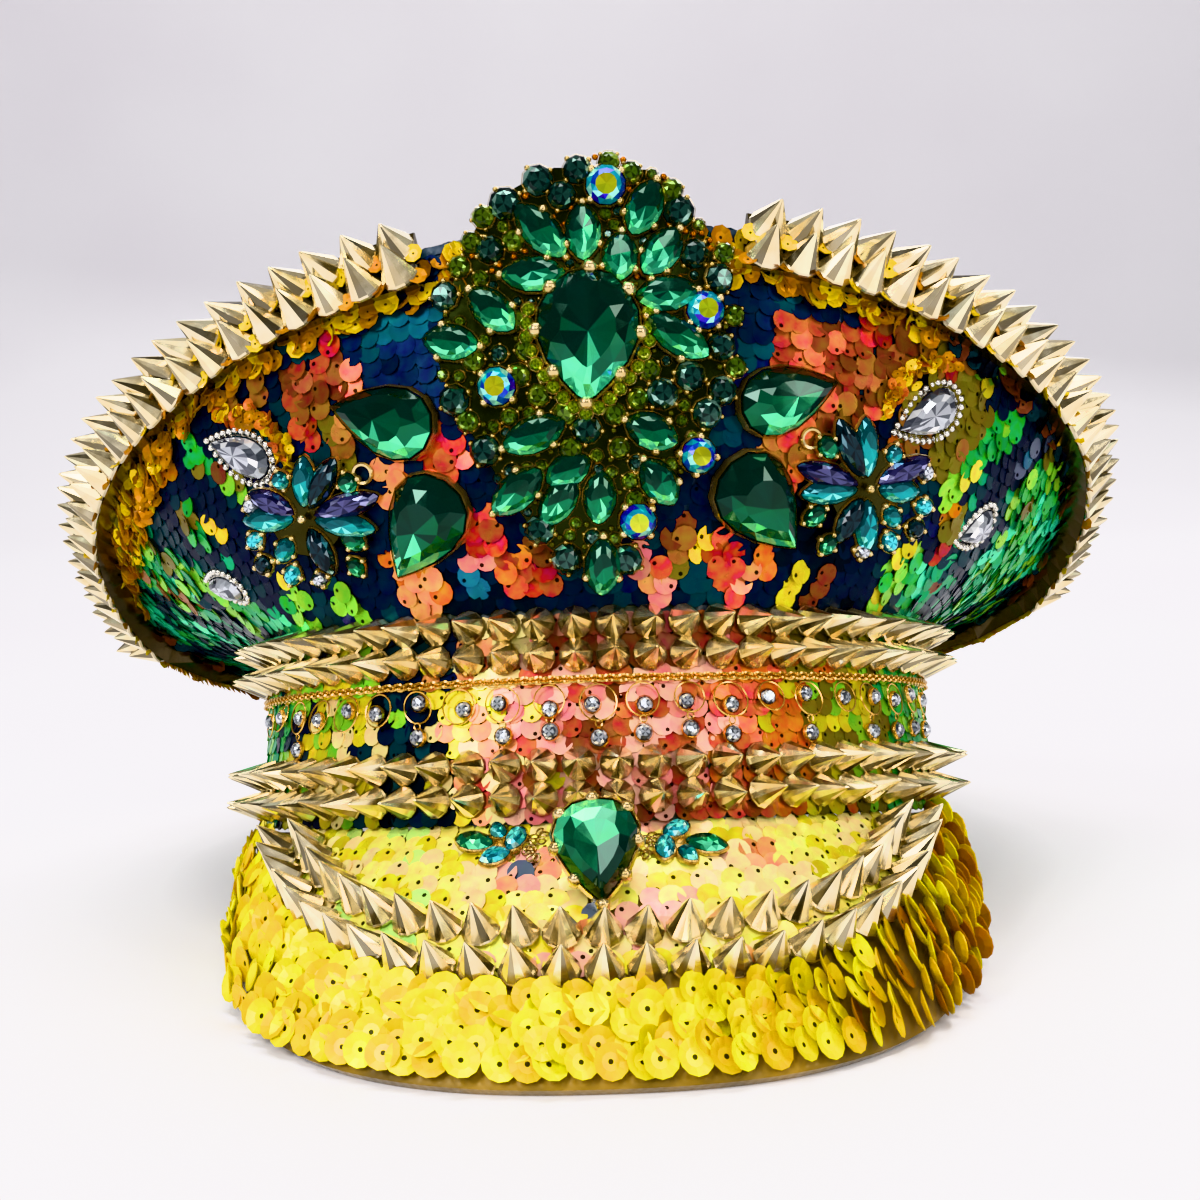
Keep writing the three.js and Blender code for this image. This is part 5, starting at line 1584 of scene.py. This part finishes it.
# Each flower's petals: the way each points in degrees, how far it reaches, and its stone. Its
# beads: across, up, length, width, turn and stone. Its loop: across, up and radius.
FLOWERS = {
    "flower_left": {
        "across": -61, "rise": 26.2,
        "petals": [
            (66, 14.5, "teal"), (38, 16.5, "night"), (-4, 19.5, "violet"), (-28, 17.5, "teal"),
            (-86, 14.5, "night"), (163, 15.5, "teal"), (137, 14.5, "violet"),
        ],
        "beads": [
            (13.4, 3.9, 4.8, 4.8, 0, "emerald"), (9, -8.6, 6.4, 4.6, -50, "emerald"),
            (7.2, -14.6, 5, 4, -70, "emerald"), (-14.1, -0.7, 4.6, 4, 20, "sky"),
            (-11.6, 6.9, 3.8, 3.8, 0, "clear"), (-2.5, -14.4, 3.8, 3.4, 0, "clear"),
            (-14.4, -6.6, 4.6, 4.6, 0, "night"), (-8, -5.2, 6.4, 4.8, 215, "teal"),
            (-8.6, -11.2, 5, 4.2, 230, "sky"), (-2, 10, 4.4, 4.4, 0, "teal"),
            (0.8, -10.4, 3.6, 3.6, 0, "dark"),
        ],
        "loop": (17.4, 4.6, 2.2),
    },
    "flower_right": {
        "across": 59.2, "rise": 28.6,
        "petals": [
            (132, 18, "night"), (110, 16.5, "teal"), (38, 16.5, "violet"), (10, 13, "teal"),
            (178, 18.5, "violet"), (-161, 16.5, "teal"), (-104, 14, "night"), (-74, 15, "teal"),
        ],
        "beads": [
            (-12.4, 6.6, 6, 4.8, 150, "emerald"), (-10.6, -9.2, 6.2, 4.6, 225, "emerald"),
            (-5.4, -14.8, 5, 4, 250, "emerald"), (15, -0.8, 4.6, 4, 0, "sky"),
            (13, 6.8, 3.8, 3.8, 0, "clear"), (3.3, -14.4, 3.8, 3.4, 0, "clear"),
            (14.6, -6.2, 4.6, 4.6, 0, "night"), (9.4, -10.6, 5, 4.2, -50, "sky"),
            (8, -4.8, 5.6, 4.4, -40, "teal"), (4, 9, 4.4, 4.4, 0, "teal"),
        ],
        "loop": (-16.6, 7.4, 2.2),
    },
}


def wedge(outline, top, depth_at):
    """A plate whose underside slopes: depth_at gives its depth at each place across."""
    under = np.column_stack([outline, -depth_at(outline[:, 0])])
    return *lofted([under, flat_ring(outline, top)]), None


def make_flowers():
    for index, (name, flower) in enumerate(FLOWERS.items()):
        rng = np.random.default_rng(130 + index)
        stones, settings = Gathering(), Gathering()
        lean = -math.copysign(FLOWER["lean"], flower["across"])
        seat = crown_seats_at(flower["across"], flower["rise"])
        seat = seat.moved(out=FLOWER["lift"]).leaning(right=lean)
        depth_at = lambda x: (FLOWER["lift"] - CLEARANCE - x * math.sin(lean)) / math.cos(lean)
        plate = circle(FLOWER["plate_radius"], 20)
        settings.add(wedge(plate, FLOWER["plate_thickness"], depth_at), seat, (0.05, 0.06, 0.05))
        for turn, reach, kind in flower["petals"]:
            length = reach - FLOWER["heart"]
            petal = outline_of("marquise", length, FLOWER["petal_width"], 14)
            place = seat.turned(math.radians(turn))
            place = place.moved(across=FLOWER["heart"] + length / 2, out=FLOWER["part_lift"])
            place_stone(place, petal, FLOWER["petal_height"], kind, rng, stones, settings)
        for across, up, length, width, turn, kind in flower["beads"]:
            outline = outline_of("round", length, width, 12)
            place = seat.moved(across=across, up=up, out=0.3 + 0.4 * rng.uniform())
            place = place.turned(math.radians(turn))
            place_stone(place, outline, FLOWER["bead_height"], kind, rng, stones, settings)
            prongs = along_outline(outline, gap=width * 0.8, out=0.15)
            settings.add(PRONG, spread_from(place, prongs), scale=1.5)
        settings.add(BEAD, seat.moved(out=2.2), scale=1.1)
        across, up, radius = flower["loop"]
        settings.add(ring_shape(radius, wire=0.45, around=20), seat.moved(across, up, out=0.9))
        stones.piece(name + "_stones", TEAL_STONE, [name])
        settings.piece(name + "_settings", SETTING_GOLD, smooth_below=50)


# ---------- stones on the visor ----------

# The stones of the cluster on the wearer's left of the gem; the other is the same, turned round.
# Each stone's place across and up, its length, width and turn in degrees, and its kind.
CLUSTER = [
    (6.6, -1.4, 9.4, 5.6, -14, "emerald"), (-2.8, -2.0, 7.6, 4.6, 78, "sky"),
    (0.8, 3.5, 7, 4.5, 24, "sky"), (1.8, -4.6, 5.2, 3.8, -50, "teal"),
]
CLUSTER_PLACES = {"visor_cluster_left": (-20.5, 180), "visor_cluster_right": (15.5, 0)}
CLUSTER_DOWN = 8
CLUSTER_LINKS = 18
# The gem leans on a foot, which slopes to meet the visor under it.
GEM = {"lift": 1.9, "lean": math.radians(32), "backing": 1, "foot_share": 0.55, "foot_gap": 0.5}


def visor_seat_at(across, down):
    angle = np.arcsin(np.atleast_1d(across) / (BAND["half_width"] + down * VISOR["widening"]))
    foot, edge = (visor_topside(angle, np.full(len(angle), end)) for end in (0.0, 1.0))
    width = np.linalg.norm(foot - edge, axis=-1)
    return visor_seats(angle, down / width)


def make_visor_gem():
    stones, settings = Gathering(), Gathering()
    seat, outline = set_stone(
        "visor_gem", "pear", "forest", 16, 140, stones, settings, wall=0.9, prong_gap=7, lit_side=2.4)
    half = outline[:, 0].max()
    depth = GEM["backing"] + (GEM["lift"] - GEM["foot_gap"]) / math.cos(GEM["lean"])
    depth_at = lambda x: depth + (half - x) * math.tan(GEM["lean"])
    foot = outline * GEM["foot_share"] + [half * (1 - GEM["foot_share"]), 0]
    back = wedge(outline * 1.04, -0.1, lambda x: np.full(len(x), 1.3))
    settings.add(back, seat, (0.5, 0.45, 0.4))
    settings.add(wedge(foot, -0.4, depth_at), seat, (0.3, 0.27, 0.22))
    stones.piece("visor_gem_stone", EMERALD_STONE, ["visor_gem"])
    settings.piece("visor_gem_collar", SETTING_GOLD, ["visor_gem_setting"], 50)


def make_visor_clusters():
    """A cluster of stones on either side of the gem, with a few loose links beside it."""
    for seed, (name, (across, turn)) in enumerate(CLUSTER_PLACES.items(), 150):
        rng = np.random.default_rng(seed)
        stones, settings = Gathering(), Gathering()
        seat = visor_seat_at(across, CLUSTER_DOWN).moved(out=CLEARANCE + 0.2)
        seat = seat.turned(math.radians(turn))
        settings.add(turned_shape([(3.6, 0.0), (3.6, 0.7), (3.1, 0.9)], 16), seat)
        for x, y, length, width, stone_turn, kind in CLUSTER:
            outline = outline_of("marquise", length, width, 12)
            place = seat.moved(across=x, up=y, out=0.8).turned(math.radians(stone_turn))
            place_stone(place, outline, 2.8, kind, rng, stones, settings)
        towards_gem = -7 + 1.8 * rng.normal(0, 1, CLUSTER_LINKS)
        places = np.stack([towards_gem, rng.normal(0, 2.6, CLUSTER_LINKS)], axis=1)
        links = spread_from(seat, places).moved(out=1.0).turned(rng.uniform(0, 3, CLUSTER_LINKS))
        links = links.leaning(up=rng.normal(0, 0.6, CLUSTER_LINKS))
        settings.add(ring_shape(1.0, wire=0.24, around=10), links, (0.7, 0.65, 0.55))
        stones.piece(name + "_stones", TEAL_STONE, [name])
        settings.piece(name + "_settings", SETTING_GOLD, smooth_below=50)


# ---------- the chain round the band ----------

LINK_GAP = 1.55
PENDANT_SPAN = math.radians(68)
PENDANT_COUNT = 21
LOWER_DROP_SHARE = 0.62  # how many of the rings carry a second crystal under them


def make_chain():
    rng = np.random.default_rng(160)
    on_chain = lambda angle: band_point(angle, CHAIN_HEIGHT)
    steps = np.diff(on_chain(np.linspace(0, 2 * math.pi, 400)), axis=0)
    count = int(np.linalg.norm(steps, axis=1).sum() / LINK_GAP / 2) * 2
    angles = even_steps(on_chain, 0, 2 * math.pi, count)[:-1]
    links = seats_on(band_point, angles, np.full(count, CHAIN_HEIGHT)).moved(out=1.5)
    links = links.leaning(up=np.where(np.arange(count) % 2, 0.75, -0.75))
    link = ring_shape(0.95, wire=0.3, around=12, oval=1.35)
    one_piece("chain_links", CHAIN_GOLD, link, links,
              stands_for=["band_chain"], smooth_below=60)

    rings, crystals = Gathering(), Gathering()
    for angle in np.linspace(-PENDANT_SPAN, PENDANT_SPAN, PENDANT_COUNT):
        seat = seats_on(band_point, np.array([angle]), np.array([CHAIN_HEIGHT]))
        radius = rng.uniform(3.4, 4.2)
        middle = seat.moved(across=rng.normal(0, 0.5), up=-1.2 - radius, out=2.2)
        ring = ring_shape(radius, wire=0.2, around=24)
        rings.add(ring, middle.leaning(up=rng.normal(0.1, 0.1)))
        upper = middle.moved(across=rng.normal(0, 0.8), up=rng.normal(0, 0.8))
        hang(upper, 4.4, rings, crystals, rng)
        if rng.uniform() < LOWER_DROP_SHARE:
            lower = middle.moved(up=-radius - 2.9 - rng.uniform(0, 1.2))
            rings.add(ring_shape(0.8, wire=0.18, around=10), middle.moved(up=-radius - 0.6))
            hang(lower, 4.6, rings, crystals, rng)
    rings.piece("pendant_rings", CHAIN_GOLD, smooth_below=60)
    crystals.piece("pendant_crystals", CLEAR_STONE)


def hang(seat, diameter, rings, crystals, rng):
    """A clear stone in a thin setting, facing outwards."""
    outline = circle(diameter / 2 - 0.35, 12)
    seat = seat.ruffled(rng, up=(0, 0.12), right=(0, 0.12)).moved(out=-0.6)
    crystals.add(cut_stone(outline, 1.9, "clear", rng), seat)
    rings.add(collar(outline, 0.35, 1.0), seat)


# ---------- floor, light and camera ----------


AIM = (0, 0, 0.09)
# Each light's place, its width and height in metres, its power and its colour.
LIGHTS = {
    "key_left": ((-0.75, -0.85, 0.75), (0.4, 0.6), 15, (1, 1, 1)),
    "key_right": ((0.85, -0.7, 0.5), (0.25, 0.8), 7, (1.0, 0.97, 0.92)),
    "overhead": ((0, -0.1, 1.2), (1.0, 0.35), 12, (1, 1, 1)),
    "front_high": ((0.2, -1.3, 0.9), (0.5, 0.3), 5.5, (1, 1, 1)),
    "back_rim": ((0.2, 1.1, 0.7), (1.2, 0.4), 10, (1, 1, 1)),
}
WORLD = {"Color": (0.82, 0.84, 0.9, 1), "Strength": 0.36}
FLOOR = {"front": -6.0, "half_width": 6.0, "back": 1.6, "bend": 0.6, "height": 3.0, "steps": 12}


def staged(name, data):
    """An object of the scene that isn't part of the hat."""
    thing = bpy.data.objects.new(name, data)
    bpy.context.scene.collection.objects.link(thing)
    return thing


def make_lights():
    for name, (place, (width, height), power, colour) in LIGHTS.items():
        data = bpy.data.lights.new(name, "AREA")
        data.shape, data.size, data.size_y = "RECTANGLE", width, height
        data.energy, data.color = power, colour
        light = staged(name, data)
        light.location = place
        light.rotation_euler = (Vector(AIM) - Vector(place)).to_track_quat("-Z", "Y").to_euler()
    world = bpy.data.worlds.new("studio")
    bpy.context.scene.world = world
    world.use_nodes = True
    for socket, value in WORLD.items():
        world.node_tree.nodes["Background"].inputs[socket].default_value = value
    bpy.context.scene.view_settings.view_transform = "Khronos PBR Neutral"


def make_floor():
    """A pale floor that bends up into a backdrop behind the hat."""
    finish = Finish("studio_floor", Roughness=0.7)
    finish.painted(finish.noise(400), (226, 222, 226), (232, 229, 232))
    back, radius, wide = FLOOR["back"], FLOOR["bend"], FLOOR["half_width"]
    bend = [
        (back - radius + radius * math.sin(t), radius - radius * math.cos(t))
        for t in np.linspace(0, math.pi / 2, FLOOR["steps"])
    ]
    line = [(FLOOR["front"], 0.0), *bend, (back, FLOOR["height"])]
    points = [(x, y, z) for y, z in line for x in (-wide, wide)]
    faces = [(2 * i, 2 * i + 1, 2 * i + 3, 2 * i + 2) for i in range(len(line) - 1)]
    mesh = bpy.data.meshes.new("studio_floor")
    mesh.from_pydata(points, [], faces)
    mesh.polygons.foreach_set("use_smooth", [True] * len(faces))
    mesh.materials.append(finish.material)
    staged("studio_floor", mesh)


# The camera stands in front of the middle of the band's rim, in millimetres. It looks down and
# rolls by degrees.
CAMERA = {
    "from_rim": (0, -526.7, 124.5), "down": 7.4, "roll": 1.8,
    "lens": 60, "sensor_width": 36, "shift": (0.0058, 0.0083), "clip_start": 0.01,
}


def make_camera():
    data = bpy.data.cameras.new("camera")
    for setting in ("lens", "sensor_width", "clip_start"):
        setattr(data, setting, CAMERA[setting])
    data.shift_x, data.shift_y = CAMERA["shift"]
    camera = bpy.data.objects.new("camera", data)
    level = Matrix.Rotation(math.radians(90 - CAMERA["down"]), 4, "X")
    roll = Matrix.Rotation(math.radians(-CAMERA["roll"]), 4, "Z")
    place = HAT[:3, 3] + np.array(CAMERA["from_rim"]) * MM
    camera.matrix_world = Matrix.Translation(place) @ level @ roll
    bpy.context.scene.collection.objects.link(camera)
    bpy.context.scene.camera = camera


# ---------- build ----------

make_walls()
make_crown_sequins()
make_top_sequins()
make_band_sequins()
make_visor_sequins()
make_visor_border()
make_edge_trim()
make_band_spikes()
make_edge_spikes()
make_visor_spikes()
make_brooch()
make_side_stones()
make_crystals()
make_tufts()
make_flowers()
make_visor_gem()
make_visor_clusters()
make_chain()
make_lights()
make_floor()
make_camera()
